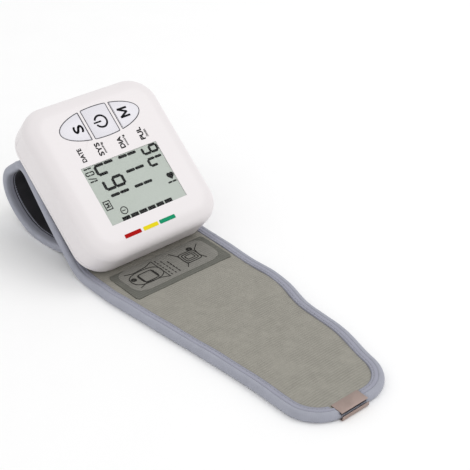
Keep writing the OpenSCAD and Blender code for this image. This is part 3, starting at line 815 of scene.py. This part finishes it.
# %% Display readings
LCD_Z = CASE_T - 0.3
LCD_BACK = 16.6
LENS_T = 0.16
LENS_GAP = 0.05
LARGE = (4.1, 9.2, 1.25)
LEVEL_X = (-23.1, -21.0)
LEVEL_TOP = 13.4
LEVEL_STEP = 4.3
LEVEL_L = 3.7
HEART_Y = -17.1
GAUGE_X = -18.5
SEGMENTS = {"1": "bc", "6": "acdefg", "7": "abcf", "0": "abcdef"}


def digit(sign, x0, y0, width, height, thick):
    mid = height / 2
    places = {"a": (width / 2, height, False), "g": (width / 2, mid, False), "d": (width / 2, 0, False),
              "b": (width, mid * 1.5, True), "c": (width, mid * 0.5, True),
              "f": (0, mid * 1.5, True), "e": (0, mid * 0.5, True)}
    bars = []
    for key in SEGMENTS[sign]:
        x, y, upright = places[key]
        length = (mid if upright else width) - 0.12
        bars.append(bar(length, thick, x0 + x, y0 + y, LCD_Z, f"bar_{sign}", upright))
    return bars


readings = []
for sign, x0, y0, width, height, thick in (
        ("1", -15.1, 3.7, *LARGE), ("6", -8.0, 3.7, *LARGE), ("7", -0.9, 3.7, *LARGE),
        ("1", -15.1, -8.2, *LARGE), ("1", -7.9, -8.2, *LARGE), ("1", -1.0, -8.2, *LARGE),
        ("7", -5.4, -18.3, 3.2, 7.2, 1.1), ("6", 0.4, -18.3, 3.0, 7.2, 1.1),
        ("1", -16.6, -18.7, 1.7, 4.5, 0.75), ("1", -3.9, 14.4, 1.3, 3.7, 0.6),
        ("0", 0.3, 14.4, 1.4, 3.7, 0.5), ("1", 2.0, 14.4, 1.3, 3.7, 0.6)):
    readings += digit(sign, x0, y0, width, height, thick)
for i in range(6):
    y1 = LEVEL_TOP - LEVEL_STEP * i
    readings.append(block(*LEVEL_X, y1 - LEVEL_L, y1, LCD_Z, LCD_Z + INK_T, "level_block"))
for side in (-1, 1):
    lobe = (-11.7, HEART_Y + 0.74 * side, LCD_Z + INK_T / 2)
    readings.append(rod(1.05, INK_T, lobe, sides=24, name="heart_lobe"))
clear_selection()
bpy.ops.mesh.primitive_plane_add(size=1, location=(-12.44 * MM, HEART_Y * MM, 0),
                                 rotation=(0, 0, math.pi / 4))
bpy.context.object.scale = (2.1 * MM, 2.1 * MM, 1)
readings.append(raise_outline(done("heart_tip"), LCD_Z, LCD_Z + INK_T))
readings.append(stroke(-1.9, 14.6, -0.9, 17.9, 0.4, LCD_Z, "date_slash"))
readings.append(ring(1.75, 0.4, GAUGE_X, 10.7, LCD_Z, "gauge_ring", 24))
readings.append(bar(1.8, 0.4, GAUGE_X, 10.9, LCD_Z, "gauge_hand"))
clear_selection()
bpy.ops.mesh.primitive_plane_add(size=1, location=(-14.1 * MM, 16.2 * MM, 0))
bpy.context.object.scale = (4.2 * MM, 3.3 * MM, 1)
readings.append(raise_outline(keep_inset(done("memory_box"), 0.42, True), LCD_Z, LCD_Z + INK_T))
readings += letter_m(-14.9, -13.3, 15.4, 17.0, 0.42, LCD_Z)
lcd_ink = ink("lcd_ink", paint(12, 13, 14), 0.6)
join_as("display_readings", readings, lcd_ink, "monitor")
edge_x = WINDOW_L / 2 - LENS_GAP
edge_y = WINDOW_W / 2 - LENS_GAP
lcd_panel = block(WINDOW_X - edge_x, WINDOW_X + edge_x, -edge_y, edge_y, LCD_BACK, LCD_Z - 0.01,
                  "lcd_panel")
window_plate = block(WINDOW_X - edge_x, WINDOW_X + edge_x, -edge_y, edge_y, CASE_T - LENS_T, CASE_T,
                     "window_plate")
for piece, finish, node, slot_name in ((lcd_panel, display_glass(), "lcd_glass", "lcd"),
                                       (window_plate, clear_window(), "display_lens", "lens")):
    soften(piece, 0.04, 2, 50)
    piece.data.materials.append(finish)
    set_in_case(piece)
    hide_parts(node)
    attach(piece, "monitor")
print("display:", len(readings), "shapes")

# %% [markdown]
# The cuff is one long strap. It lies flat, climbs behind the case, turns over at the top, falls, and curls
# back under to close the loop. Its middle line is a walk of straight runs and arcs, as the frame's cuff has
# it. A point of the strap is then given flat, as on a cutting table: how far along, how far across, and how
# far above the middle layer. One function carries it onto the bent strap, and every cuff piece uses it.

# %% The strap's route
TILT = 40
BEND_R = 14
TOP_R = 8
FALL = 10
FALL_A = 36
NOSE_R = 10.6
BELLY_R = 27
BELLY_A = 50
TUCK = 22
TUCK_A = 16
HALF_T = 1.6
TAIL = 133
rad = math.radians
bend_start = TAIL - BEND_R * math.tan(rad(TILT / 2))
slope = (NOSE_R * (math.cos(rad(FALL_A)) + math.cos(rad(BELLY_A))) + BELLY_R * (1 - math.cos(rad(BELLY_A)))
         + FALL * math.sin(rad(FALL_A)) - BEND_R * (1 - math.cos(rad(TILT)))
         - TOP_R * (math.cos(rad(FALL_A)) - math.cos(rad(TILT)))) / math.sin(rad(TILT))


def arc(radius, angle):
    return (radius * rad(abs(angle)), angle)


runs = [(bend_start, 0), arc(BEND_R, TILT), (slope, 0), arc(TOP_R, -TILT - FALL_A), (FALL, 0),
        arc(NOSE_R, FALL_A + BELLY_A - 180), arc(BELLY_R, -BELLY_A), (TUCK, -TUCK_A)]
run_ends = [sum(length for length, turn in runs[:i + 1]) for i in range(len(runs))]
STRAP = run_ends[-1]
TIP_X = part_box("cuff_tape_tip")[0].x / MM


def route(s):
    """Where the middle line is after a length s, and its slope, in millimetres and radians."""
    x, z, a = 0.0, HALF_T, 0.0
    for length, turn in runs:
        step = min(max(s, 0), length)
        bent = rad(turn) * step / length
        reach = step if abs(bent) < 1e-9 else 2 * step / bent * math.sin(bent / 2)
        x += reach * math.cos(a + bent / 2)
        z += reach * math.sin(a + bent / 2)
        a += bent
        s -= length
        if s <= 0:
            break
    return x, z, a


def on_strap(s, y, h):
    """Carry a point of the flat pattern onto the bent strap, in metres."""
    x, z, a = route(s)
    if s < 0:
        x = s
    return Vector(((TIP_X + x - h * math.sin(a)) * MM, y * MM, max(0.0, z + h * math.cos(a)) * MM))


print("strap:", round(STRAP, 1), "mm long, its top after", round(run_ends[3], 1), "mm")

# %% [markdown]
# The strap's plan isn't straight: the tail is narrow, swells where it passes the wrist and narrows again in
# the loop, and the two sides differ. A short list of half widths, eased between its points, draws each side.
# The tip's corners are quarter rounds.

# %% The strap's plan
TIP_R = 15
left_widths = [(0, 23.7), (12, 24.3), (30, 24.7), (40, 25.2), (60, 27), (80, 29.2), (94, 30.6), (108, 32.3),
               (124, 32.8), (150, 32), (168, 30.5), (184, 29), (200, 29)]
right_widths = [(0, 19.5), (12, 19.8), (20, 21.4), (28, 23.8), (36, 25.4), (54, 25.8), (60, 27), (69, 30),
                (79, 31.5), (90, 30.5), (106, 31), (150, 31.5), (168, 30.5), (184, 29), (200, 29)]
curl_widths = [(120, 27.5), (150, 27.5), (165, 28.5), (190, 29), (200, 29)]
NOSE_S = run_ends[4] + NOSE_R * rad(90 - FALL_A)


def look_up(table, x):
    for (x0, w0), (x1, w1) in zip(table, table[1:]):
        if x <= x1:
            return w0 + (w1 - w0) * max(0, (x - x0)) / (x1 - x0)
    return table[-1][1]


def half_width(s, side):
    """Half the strap's width at s, on the left (1) or the right (-1)."""
    x = max(0, route(s)[0])
    table = curl_widths if s > NOSE_S else left_widths if side > 0 else right_widths
    return sum(look_up(table, x + d) for d in (-4, -2.5, -1, 1, 2.5, 4)) / 6


def edge_at(s, side, inset):
    """How far the rounded plan reaches across at s, drawn in by an inset."""
    width = half_width(s, side)
    if s >= TIP_R:
        return width - inset
    return width - TIP_R + math.sqrt(max(0, (TIP_R - inset) ** 2 - (TIP_R - s) ** 2))


print("half widths at the tip", half_width(0, 1), half_width(0, -1))

# %% [markdown]
# A layer of cloth is a closed sheet between two heights, made row by row along the strap. The top is not
# dead flat: it is a little full in the middle, sinks towards the binding, and puckers gently. The cloth's
# own map keeps lengths along and across in millimetres, so that the weave has its true size everywhere.
# Each sheet ends a little way in under the binding tape.

# %% Cloth panels
def pucker(s, y, size, amount):
    return noise.noise(Vector((s / size, y / size, 3.7))) * amount


def close_sheet(mesh, sides, rows, columns):
    """Join two grids of vertices, a top and a bottom, into one closed sheet."""
    for i in range(rows):
        for j in range(columns):
            corners = [(i, j), (i + 1, j), (i + 1, j + 1), (i, j + 1)]
            mesh.faces.new([sides["top", a, b] for a, b in corners])
            mesh.faces.new([sides["bottom", a, b] for a, b in reversed(corners)])
    rim = ([(0, j) for j in range(columns + 1)] + [(i, columns) for i in range(1, rows + 1)]
           + [(rows, j) for j in range(columns - 1, -1, -1)] + [(i, 0) for i in range(rows - 1, 0, -1)])
    for a, b in zip(rim, rim[1:] + rim[:1]):
        mesh.faces.new([sides["top", *a], sides["top", *b], sides["bottom", *b], sides["bottom", *a]])


def lay_map(mesh, cloth_map, flat):
    """Give each corner its place on the flat pattern, in millimetres."""
    for face in mesh.faces:
        for loop in face.loops:
            loop[cloth_map].uv = flat[loop.vert]


def cloth_panel(name, s0, s1, inset, top, bottom, rows, finish, columns=44):
    """A closed sheet of the strap from s0 to s1; top and bottom give its heights."""
    mesh = bmesh.new()
    cloth_map = mesh.loops.layers.uv.new("cloth")
    flat = {}
    sides = {}
    for level, height in (("top", top), ("bottom", bottom)):
        for i in range(rows + 1):
            s = s0 + (s1 - s0) * i / rows
            left = edge_at(s, 1, inset)
            right = -edge_at(s, -1, inset)
            for j in range(columns + 1):
                share = 0.5 - 0.5 * math.cos(math.pi * j / columns)
                y = right + (left - right) * (0.45 * share + 0.55 * j / columns)
                vertex = mesh.verts.new(on_strap(s, y, height(s, y, min(left - y, y - right))))
                flat[vertex] = (s, y)
                sides[level, i, j] = vertex
    close_sheet(mesh, sides, rows, columns)
    lay_map(mesh, cloth_map, flat)
    return finish_cloth(mesh, name, finish)


def finish_cloth(mesh, name, finish):
    bmesh.ops.recalc_face_normals(mesh, faces=mesh.faces)
    data = bpy.data.meshes.new(name)
    mesh.to_mesh(data)
    mesh.free()
    piece = bpy.data.objects.new(name, data)
    bpy.context.scene.collection.objects.link(piece)
    data.materials.append(finish)
    return smooth(piece, 60)


def face_top(s, y, rim):
    full = 0.3 * min(1, max(0, rim) / 9)
    return HALF_T - 0.12 + full + pucker(s, y, 13, 0.22) * min(1, max(0, rim) / 6) + pucker(s, y, 4, 0.05)


def face_bottom(s, y, rim):
    return 0.2


def lining_top(s, y, rim):
    return -0.2


def lining_bottom(s, y, rim):
    loose = 0.35 if s > bend_start + 4 else 0.0
    return -HALF_T + 0.1 - loose * max(0, pucker(s, y, 15, 1.0)) * min(1, max(0, rim) / 6)


face_cloth = ribbed_cloth("cuff_face_cloth", FACE_CLOTH)
lining_cloth = smooth_lining("cuff_lining_cloth", paint(36, 35, 39))
tape_cloth = binding_tape("cuff_binding_tape", TAPE_CLOTH)
stretches = {"tip": (0, 70), "mid": (70, 118), "base": (118, run_ends[3]), "curl": (run_ends[3], STRAP)}
TAPE = 5.0
UNDER_TAPE = TAPE - 1.2
faces = {}
linings = {}
for name, (s0, s1) in stretches.items():
    start = UNDER_TAPE if name == "tip" else s0
    end = s1 - (UNDER_TAPE if name == "curl" else 0)
    count = max(24, int((end - start) / 1.3))
    faces[name] = cloth_panel(f"cuff_face_{name}", start, end, UNDER_TAPE, face_top, face_bottom,
                              count, face_cloth)
    linings[name] = cloth_panel(f"cuff_inside_{name}", start, end, UNDER_TAPE, lining_top, lining_bottom,
                                count, lining_cloth)
print("cloth panels:", len(faces) + len(linings))

# %% [markdown]
# The binding tape is folded over the strap's edge and stitched through near its inner border. Its section
# shows that: a full bead round the edge, a slight fold along the middle of the top, the sunken line of the
# stitching, and a thin border. The section is carried round the edge of the plan, and round the tip's
# corners, with the distance from the edge as its width.

# %% Binding tape
clip_low, clip_high = (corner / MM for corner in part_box("end_clip"))
CLIP_Y = (clip_low.y + clip_high.y) / 2
CLIP_W = clip_high.y - clip_low.y
tape_section = [(TAPE, 1.3), (TAPE, 1.76), (4.75, 1.92), (4.25, 1.86), (STITCH_LINE, 1.74), (3.75, 1.86),
                (3.2, 2.02), (2.6, 1.98), (FOLD_LINE, 1.8), (2.0, 2.0), (1.4, 2.06), (0.8, 1.86), (0.35, 1.4),
                (0.08, 0.75), (0.0, 0.0), (0.08, -0.7), (0.35, -1.2), (0.8, -1.5), (1.4, -1.58), (2.4, -1.58),
                (3.7, -1.5), (STITCH_LINE, -1.42), (4.3, -1.52), (TAPE, -1.5), (TAPE, -1.2)]


def edge_line(s0, s1):
    """Points of the strap's edge, with the way into the strap, from the left side round to the right."""
    spots = []
    first = max(s0, TIP_R) if s0 < 1 else s0
    count = max(2, int((s1 - first) / 1.4))
    along = [s1 + (first - s1) * i / count for i in range(count + 1)]
    left = [(s, half_width(s, 1)) for s in along]
    right = [(s, -half_width(s, -1)) for s in reversed(along)]
    if s0 > 1:
        return [left, right]
    turns = [rad(90) * i / 12 for i in range(1, 13)]
    rounds = [(TIP_R - TIP_R * math.sin(a), TIP_R * (1 - math.cos(a))) for a in turns]
    left += [(s, half_width(s, 1) - cut) for s, cut in rounds]
    corner = [(s, -half_width(s, -1) + cut) for s, cut in reversed(rounds)]
    y0, y1 = left[-1][1], corner[0][1]
    across = [(0.0, y0 + (y1 - y0) * i / 12) for i in range(1, 12)]
    return [left + across + corner + right]


def end_line():
    """The edge of the curl: up one side, across its square end with small round corners, and back."""
    s0, s1 = stretches["curl"]
    round_r = 5.5
    stop = s1 - round_r
    count = int((stop - s0) / 1.4)
    along = [s0 + (stop - s0) * i / count for i in range(count + 1)]
    right = [(s, -half_width(s, -1)) for s in along]
    turns = [rad(90) * i / 6 for i in range(1, 7)]
    width = half_width(stop, 1)
    right += [(stop + round_r * math.sin(a), -width + round_r * (1 - math.cos(a))) for a in turns]
    left = [(s, -y) for s, y in reversed(right)]
    inner = width - round_r
    across = [(s1, -inner + 2 * inner * i / 12) for i in range(1, 12)]
    return [right + across + left]


def pinched(s, y, h):
    """The clip at the tip presses the tape down under it."""
    if s < 6 and abs(y - CLIP_Y) < CLIP_W / 2 + 0.3:
        return min(h, 1.2 if s > 0.6 else 0.3)
    return h


def tape_run(name, lines):
    mesh = bmesh.new()
    cloth_map = mesh.loops.layers.uv.new("cloth")
    flat = {}
    for spots in lines:
        rings = []
        length = 0.0
        for i, (s, y) in enumerate(spots):
            s_a, y_a = spots[max(0, i - 1)]
            s_b, y_b = spots[min(len(spots) - 1, i + 1)]
            way = Vector((s_b - s_a, y_b - y_a)).normalized()
            inward = Vector((-way.y, way.x))
            length += math.dist((s, y), spots[max(0, i - 1)])
            wave = 0.16 * noise.noise(Vector((length / 11, 0.5, 9.1)))
            made = []
            for u, h in tape_section:
                lift = wave * max(0, h) if u > 0.3 else 0
                at_s, at_y = s + inward.x * u, y + inward.y * u
                vertex = mesh.verts.new(on_strap(at_s, at_y, pinched(at_s, at_y, h + lift)))
                flat[vertex] = (length, u)
                made.append(vertex)
            rings.append(made)
        for first, second in zip(rings, rings[1:]):
            for k in range(len(tape_section)):
                m = (k + 1) % len(tape_section)
                mesh.faces.new([first[k], second[k], second[m], first[m]])
        mesh.faces.new(rings[0])
        mesh.faces.new(list(reversed(rings[-1])))
    lay_map(mesh, cloth_map, flat)
    return finish_cloth(mesh, name, tape_cloth)


tapes = {"tip": tape_run("cuff_tape_tip_bound", edge_line(*stretches["tip"])),
         "mid": tape_run("cuff_tape_mid_bound", edge_line(*stretches["mid"])),
         "base": tape_run("cuff_tape_base_bound", edge_line(*stretches["base"])),
         "curl": tape_run("cuff_tape_curl_bound", end_line())}
print("binding tape:", sum(len(t.data.polygons) for t in tapes.values()), "faces")

# %% [markdown]
# The strap folds at two places of its tail, and its loop springs open at the nose. Each stretch crosses at
# most one of these; a table lists, for each such stretch, its two bodies and two points on the strap.
# The stretch by the case rides on the case; the other stretches are fixed where they are drawn.

# %% The cuff's stretches and their bodies
def strap_spot(s, h=0.0):
    return tuple(on_strap(s, 0, h))


nose_x = joints["cuff_curl_flex"]["pos_m"][0]
bends = {"tip": ("tail_inner", "tail_outer", strap_spot(68), strap_spot(26)),
         "mid": ("monitor", "tail_inner", strap_spot(112), strap_spot(78)),
         "curl": ("monitor", "cuff_curl", (nose_x, 0, 0.0240), (nose_x, 0, 0.0115))}


def bend_with(piece, stretch):
    if stretch == "base":
        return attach(piece, "monitor")
    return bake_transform(piece)


for name in stretches:
    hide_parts(f"cuff_fabric_{name}")
    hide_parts(f"cuff_lining_{name}")
    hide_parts(f"cuff_tape_{name}")
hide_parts("cuff_stiffener_base", "cuff_bladder")
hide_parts("cuff_stiffener_curl")
print("cuff:", len(stretches), "stretches")

# %% [markdown]
# A label is sewn to the face beside the case: a darker frame with a rounded panel, and line drawings of
# how the cuff is worn. The drawings here are plain signs of the same kind: a wrist with its cuff, a case on
# a wrist, and rows of dots. Each line is a thin flat ribbon that lies on the panel.

# %% The label and its drawings
LABEL_S = (100.5, 121.0)
LABEL_Y = 24.5
# The frame is printed darker than the panel; both colours are also set darker than the cloth's own tone,
# which is painted shade where the label lies beside the case.
label_finish = ribbed_cloth("label_frame_cloth", paint(104, 104, 97))
panel_finish = ribbed_cloth("label_panel_cloth", paint(132, 130, 124))
line_finish = ink("label_line_ink", paint(50, 49, 47), 0.8)


def on_label(s, y):
    """Height of the strap's face under the label."""
    return face_top(s, y, 20)


def label_plate(name, s0, s1, half_y, corner, low, high, finish):
    """A thin plate that lies on the strap's face, its corners rounded by a radius."""
    mesh = bmesh.new()
    cloth_map = mesh.loops.layers.uv.new("cloth")
    rows, columns = 16, 40
    grid = {}
    flat = {}
    for level, lift in (("bottom", low), ("top", high)):
        for i in range(rows + 1):
            s = s0 + (s1 - s0) * i / rows
            near = min(s - s0, s1 - s)
            cut = corner - math.sqrt(max(0, corner ** 2 - max(0, corner - near) ** 2))
            for j in range(columns + 1):
                y = (half_y - cut) * (2 * j / columns - 1)
                vertex = mesh.verts.new(on_strap(s, y, on_label(s, y) + lift))
                grid[level, i, j] = vertex
                flat[vertex] = (s, y)
    close_sheet(mesh, grid, rows, columns)
    lay_map(mesh, cloth_map, flat)
    return finish_cloth(mesh, name, finish)


def ribbon(mesh, spots, width, closed=False, lift=0.5):
    """Add a flat line through points of the label, in millimetres along and across."""
    if closed:
        spots = spots + spots[:1]
    for (s_a, y_a), (s_b, y_b) in zip(spots, spots[1:]):
        way = Vector((s_b - s_a, y_b - y_a))
        if way.length < 1e-6:
            continue
        ahead = way.normalized() * width / 2
        side = Vector((-ahead.y, ahead.x))
        corners = [Vector((s_a, y_a)) - ahead + side, Vector((s_b, y_b)) + ahead + side,
                   Vector((s_b, y_b)) + ahead - side, Vector((s_a, y_a)) - ahead - side]
        made = [[mesh.verts.new(on_strap(c.x, c.y, on_label(c.x, c.y) + up)) for c in corners]
                for up in (lift - 0.06, lift)]
        mesh.faces.new(made[1])
        mesh.faces.new(list(reversed(made[0])))
        for k in range(4):
            m = (k + 1) % 4
            mesh.faces.new([made[0][k], made[0][m], made[1][m], made[1][k]])


def loop_of(s, y, size_s, size_y, power=2.0, count=20):
    """Points of an oval, squarer as its power grows."""
    spots = []
    for i in range(count):
        a = 2 * math.pi * i / count
        c, d = math.cos(a), math.sin(a)
        spots.append((s + size_s * abs(c) ** (2 / power) * math.copysign(1, c),
                      y + size_y * abs(d) ** (2 / power) * math.copysign(1, d)))
    return spots


label_frame = label_plate("cuff_label_frame", LABEL_S[0], LABEL_S[1], LABEL_Y, 0.8, -0.25, 0.22, label_finish)
label_panel = label_plate("cuff_label_panel", LABEL_S[0] + 2.8, LABEL_S[1] - 0.2, LABEL_Y - 2.6, 5.0, -0.2,
                          0.36, panel_finish)
lines = bmesh.new()
ribbon(lines, loop_of(111.5, 12.0, 4.6, 7.6, 2.6), 0.34, True)
ribbon(lines, [(106.0, 18.6), (107.5, 15.0), (106.8, 8.0), (105.4, 5.0)], 0.34)
ribbon(lines, [(117.5, 18.8), (116.4, 15.2), (117.0, 8.4), (118.4, 5.2)], 0.34)
ribbon(lines, loop_of(111.0, 11.5, 3.1, 3.8, 5.0, 24), 0.4, True)
ribbon(lines, [(108.2, 8.2), (113.8, 8.2)], 0.5)
ribbon(lines, [(108.2, 14.8), (113.8, 14.8)], 0.5)
ribbon(lines, loop_of(112.4, 17.8, 0.7, 0.7, 2.0, 10), 0.9, True)
for row, y in enumerate((3.2, 1.2, -0.8)):
    for i in range(7 - row):
        s = 105.6 + 1.9 * i
        ribbon(lines, [(s, y), (s + 0.9, y)], 0.34 + 0.12 * (row == 2))
ribbon(lines, [(105.0, 4.6), (118.5, 4.6)], 0.26)
for grow in (0, 1.1, 2.2):
    ribbon(lines, loop_of(111.2, -10.4, 1.4 + grow, 1.9 + grow, 6.0, 24), 0.36, True)
ribbon(lines, [(106.6, -15.6), (110.0, -14.4), (114.2, -15.2), (117.0, -18.4)], 0.34)
ribbon(lines, [(105.6, -5.2), (107.4, -6.6), (114.6, -6.2), (118.0, -4.4)], 0.34)
ribbon(lines, loop_of(115.8, -13.6, 0.8, 0.8, 2.0, 10), 0.9, True)
label_lines = finish_cloth(lines, "cuff_label_lines", line_finish)
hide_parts("cuff_label")
print("label lines:", len(label_lines.data.polygons), "faces")

# %% [markdown]
# A dark patch of hook tape lies under the tip, and a folded plate of satin nickel is crimped over its end.
# Its lower leaf turns up in front of the tape's end, the upper leaf lies on the tape and ends just short
# of it, and a slit is left between the two; a dark block in it is painted shadow. Each leaf is a block with
# the sides taken away that the sheet doesn't have, its fold is rounded, and it gets its thickness.

# %% Hook patch and end clip
HOOK_S = (10, 34)
hook_finish = ribbed_cloth("hook_tape", paint(38, 38, 42))
hook_patch = cloth_panel("hook_tape_patch", *HOOK_S, 10.6, lambda s, y, rim: -0.9, lambda s, y, rim: -HALF_T,
                         24, hook_finish, 24)
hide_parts("hook_patch")
edge = clip_low.x + 0.4
lower_leaf = block(edge - 0.75, clip_high.x, clip_low.y, clip_high.y, 0.22, 2.05, "lower_leaf")
pick(lower_leaf, "FACE", lambda at, normal: normal.x > 0.9 or abs(normal.y) > 0.9 or normal.z > 0.9)
bpy.ops.mesh.delete(type="FACE")
done()
pick(lower_leaf, "EDGE", lambda at, way: at.x < edge and at.z < 0.3 and abs(way.y) > 0.9)
bpy.ops.mesh.bevel(offset=0.6 * MM, segments=5, affect="EDGES")
done()
modify(lower_leaf, "SOLIDIFY", thickness=0.38 * MM, offset=0)
upper_leaf = block(edge - 0.25, clip_high.x + 0.3, clip_low.y, clip_high.y, 3.1, 3.5, "upper_leaf")
pick(upper_leaf, "VERT", lambda at, normal: at.x > edge + 2)
bpy.ops.transform.translate(value=(0, 0, 0.08 * MM))
done()
# A dark block in the slit between the leaves: painted shadow, not a part of the clip.
slit = block(edge + 0.25, edge + 2.2, clip_low.y + 0.3, clip_high.y - 0.3, 1.6, 3.05, "clip_slit_painted_shadow")
slit.data.materials.append(gap_painted_shade)
clear_selection()
lower_leaf.select_set(True)
upper_leaf.select_set(True)
bpy.context.view_layer.objects.active = lower_leaf
bpy.ops.object.join()
clip = done("end_clip_fold")
soften(clip, 0.09, 2, 50)
smooth(clip, 35)
nickel = brushed("clip_nickel", paint(168, 150, 143), rough=0.42, along=(14, 1, 14), tarnish=0.2)
clip.data.materials.append(nickel)
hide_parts("end_clip")
print("clip:", [round(d / MM, 2) for d in clip.dimensions])

# %% [markdown]
# The stretch by the case rides on the case with its lining and binding; the other stretches, the label and
# the hook patch stay where they are drawn, while the rigid clip rides whole on the outermost body.

# %% Hang the base stretch and the clip on their bodies
for name in stretches:
    for piece in (faces[name], linings[name], tapes[name]):
        bend_with(piece, name)
for piece in (label_frame, label_panel, label_lines):
    bend_with(piece, "mid")
bend_with(hook_patch, "tip")
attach(clip, "tail_outer")
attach(slit, "tail_outer")

# %% [markdown]
# What the covers hide is whole too, because covers open and keys travel. These pieces keep the shape that
# the frame gives them, and each gets a finish of its own kind: a green board with its etched tracks, zinc,
# rubber, coloured cell sleeves, bare white mouldings.

# %% Finishes of the inner pieces
def green_board():
    finish = Finish("board_green")
    spot = finish.spot()
    cells = finish.cells(finish.stretch(spot, 1, 1, 0.3), 1000 / 2.4)
    mottle = finish.clouds(spot, 1000 / 1.5, 4)
    tracks = finish.ramp(cells, (0.42, 0), (0.5, 1))
    tone = finish.blend(tracks * 0.6, paint(18, 84, 48), paint(44, 128, 74))
    return finish.surface(Base_Color=tone, Roughness=0.32 + 0.1 * (mottle - 0.5), Coat_Weight=0.3,
                          Normal=finish.bump(tracks, 0.03))


def cell_sleeve():
    finish = Finish("cell_sleeve")
    spot = finish.spot()
    bands = finish.clouds(finish.stretch(spot, 0.2, 1, 0.2), 1000 / 12, 1)
    dust = finish.clouds(spot, 1000 / 1.0, 4)
    tone = finish.blend(finish.ramp(bands, (0.5, 0), (0.52, 1)), paint(48, 48, 52), paint(196, 160, 70))
    return finish.surface(Base_Color=tone, Roughness=0.3 + 0.1 * (dust - 0.5), Coat_Weight=0.3,
                          Normal=finish.bump(dust, 0.005))


steel = brushed("zinc_steel", paint(200, 200, 202), rough=0.28, along=(6, 6, 1))
inner_white = moulded("inner_white", paint(222, 222, 218), rough=0.5, grain=0.01)
black_plastic = moulded("inner_black", paint(38, 38, 41), rough=0.45, grain=0.012)
finishes = {
    "lcd_holder": inner_white, "lcd_connectors": soft_rubber("connector_rubber", paint(190, 130, 150)),
    "main_board": green_board(), "board_parts": black_plastic, "board_screws": steel,
    "key_switches": black_plastic, "door_pin": steel, "battery_cells": cell_sleeve(),
    "battery_springs": steel, "battery_plates": steel, "buzzer": black_plastic,
    "motor_can": brushed("motor_steel", paint(182, 182, 184), rough=0.32, along=(1, 9, 1)),
    "motor_magnet": moulded("magnet_dark", paint(62, 62, 66), rough=0.7, grain=0.03),
    "pump_head": inner_white, "pump_rotor": steel, "valve_body": black_plastic, "valve_plunger": steel,
    "air_manifold": inner_white, "air_tubes": soft_rubber("tube_silicone", paint(206, 206, 200), 0.4),
    "pressure_sensor": inner_white, "cuff_nozzle": soft_rubber("nozzle_rubber", paint(198, 198, 194)),
    "case_screws": steel, "saddle_screws": steel,
    "saddle_plate": moulded("saddle_nylon", paint(176, 176, 180), rough=0.5, grain=0.012)}
for name, material in finishes.items():
    piece = frame["nodes"][name]
    piece.data.materials.clear()
    piece.data.materials.append(material)
print("finished", len(finishes), "inner nodes")

# %% [markdown]
# The finished object lies on a white sheet under one broad soft light and an even bright surround, as
# small goods are usually shown, so that its shadows stay faint. The camera looks down on it from the low
# end of the case, with a long lens.

# %% Floor, lights and camera
clear_selection()
bpy.ops.mesh.primitive_plane_add(size=4, location=(0, 0, 0))
floor = done("floor")
sheet_white = Finish("floor_white")
floor_spot = sheet_white.spot()
floor_clouds = sheet_white.clouds(floor_spot, 30, 2)
floor_tone = sheet_white.blend(floor_clouds, (0.93, 0.93, 0.93, 1), (0.95, 0.95, 0.95, 1))
floor.data.materials.append(sheet_white.surface(Base_Color=floor_tone, Roughness=0.9, Specular_IOR_Level=0.1))

world = bpy.data.worlds.new("studio")
world.use_nodes = True
world.node_tree.nodes["Background"].inputs["Color"].default_value = (1, 1, 1, 1)
world.node_tree.nodes["Background"].inputs["Strength"].default_value = 0.93
bpy.context.scene.world = world


def soft_light(name, place, aim, size, power):
    light = bpy.data.lights.new(name, "AREA")
    light.shape = "DISK"
    light.size = size
    light.energy = power
    lamp = bpy.data.objects.new(name, light)
    lamp.location = place
    lamp.rotation_euler = (Vector(aim) - Vector(place)).to_track_quat("-Z", "Y").to_euler()
    bpy.context.scene.collection.objects.link(lamp)
    return lamp


soft_light("key_light", (-0.35, -0.55, 0.9), (0, 0, 0.02), 0.7, 2.4)
camera_data = bpy.data.cameras.new("camera")
camera_data.sensor_width = 36
camera_data.lens = 88.09
camera_data.clip_start = 0.01
camera_data.clip_end = 10
camera = bpy.data.objects.new("camera", camera_data)
camera.location = (-0.3036, 0.2381, 0.2679)
look = Vector((0.6423, -0.5517, -0.5320)).normalized()
camera.rotation_euler = look.to_track_quat("-Z", "Y").to_euler()
bpy.context.scene.collection.objects.link(camera)
bpy.context.scene.camera = camera
bpy.context.scene.view_settings.view_transform = "Standard"
bpy.context.scene.view_settings.look = "None"
print("lit and framed")
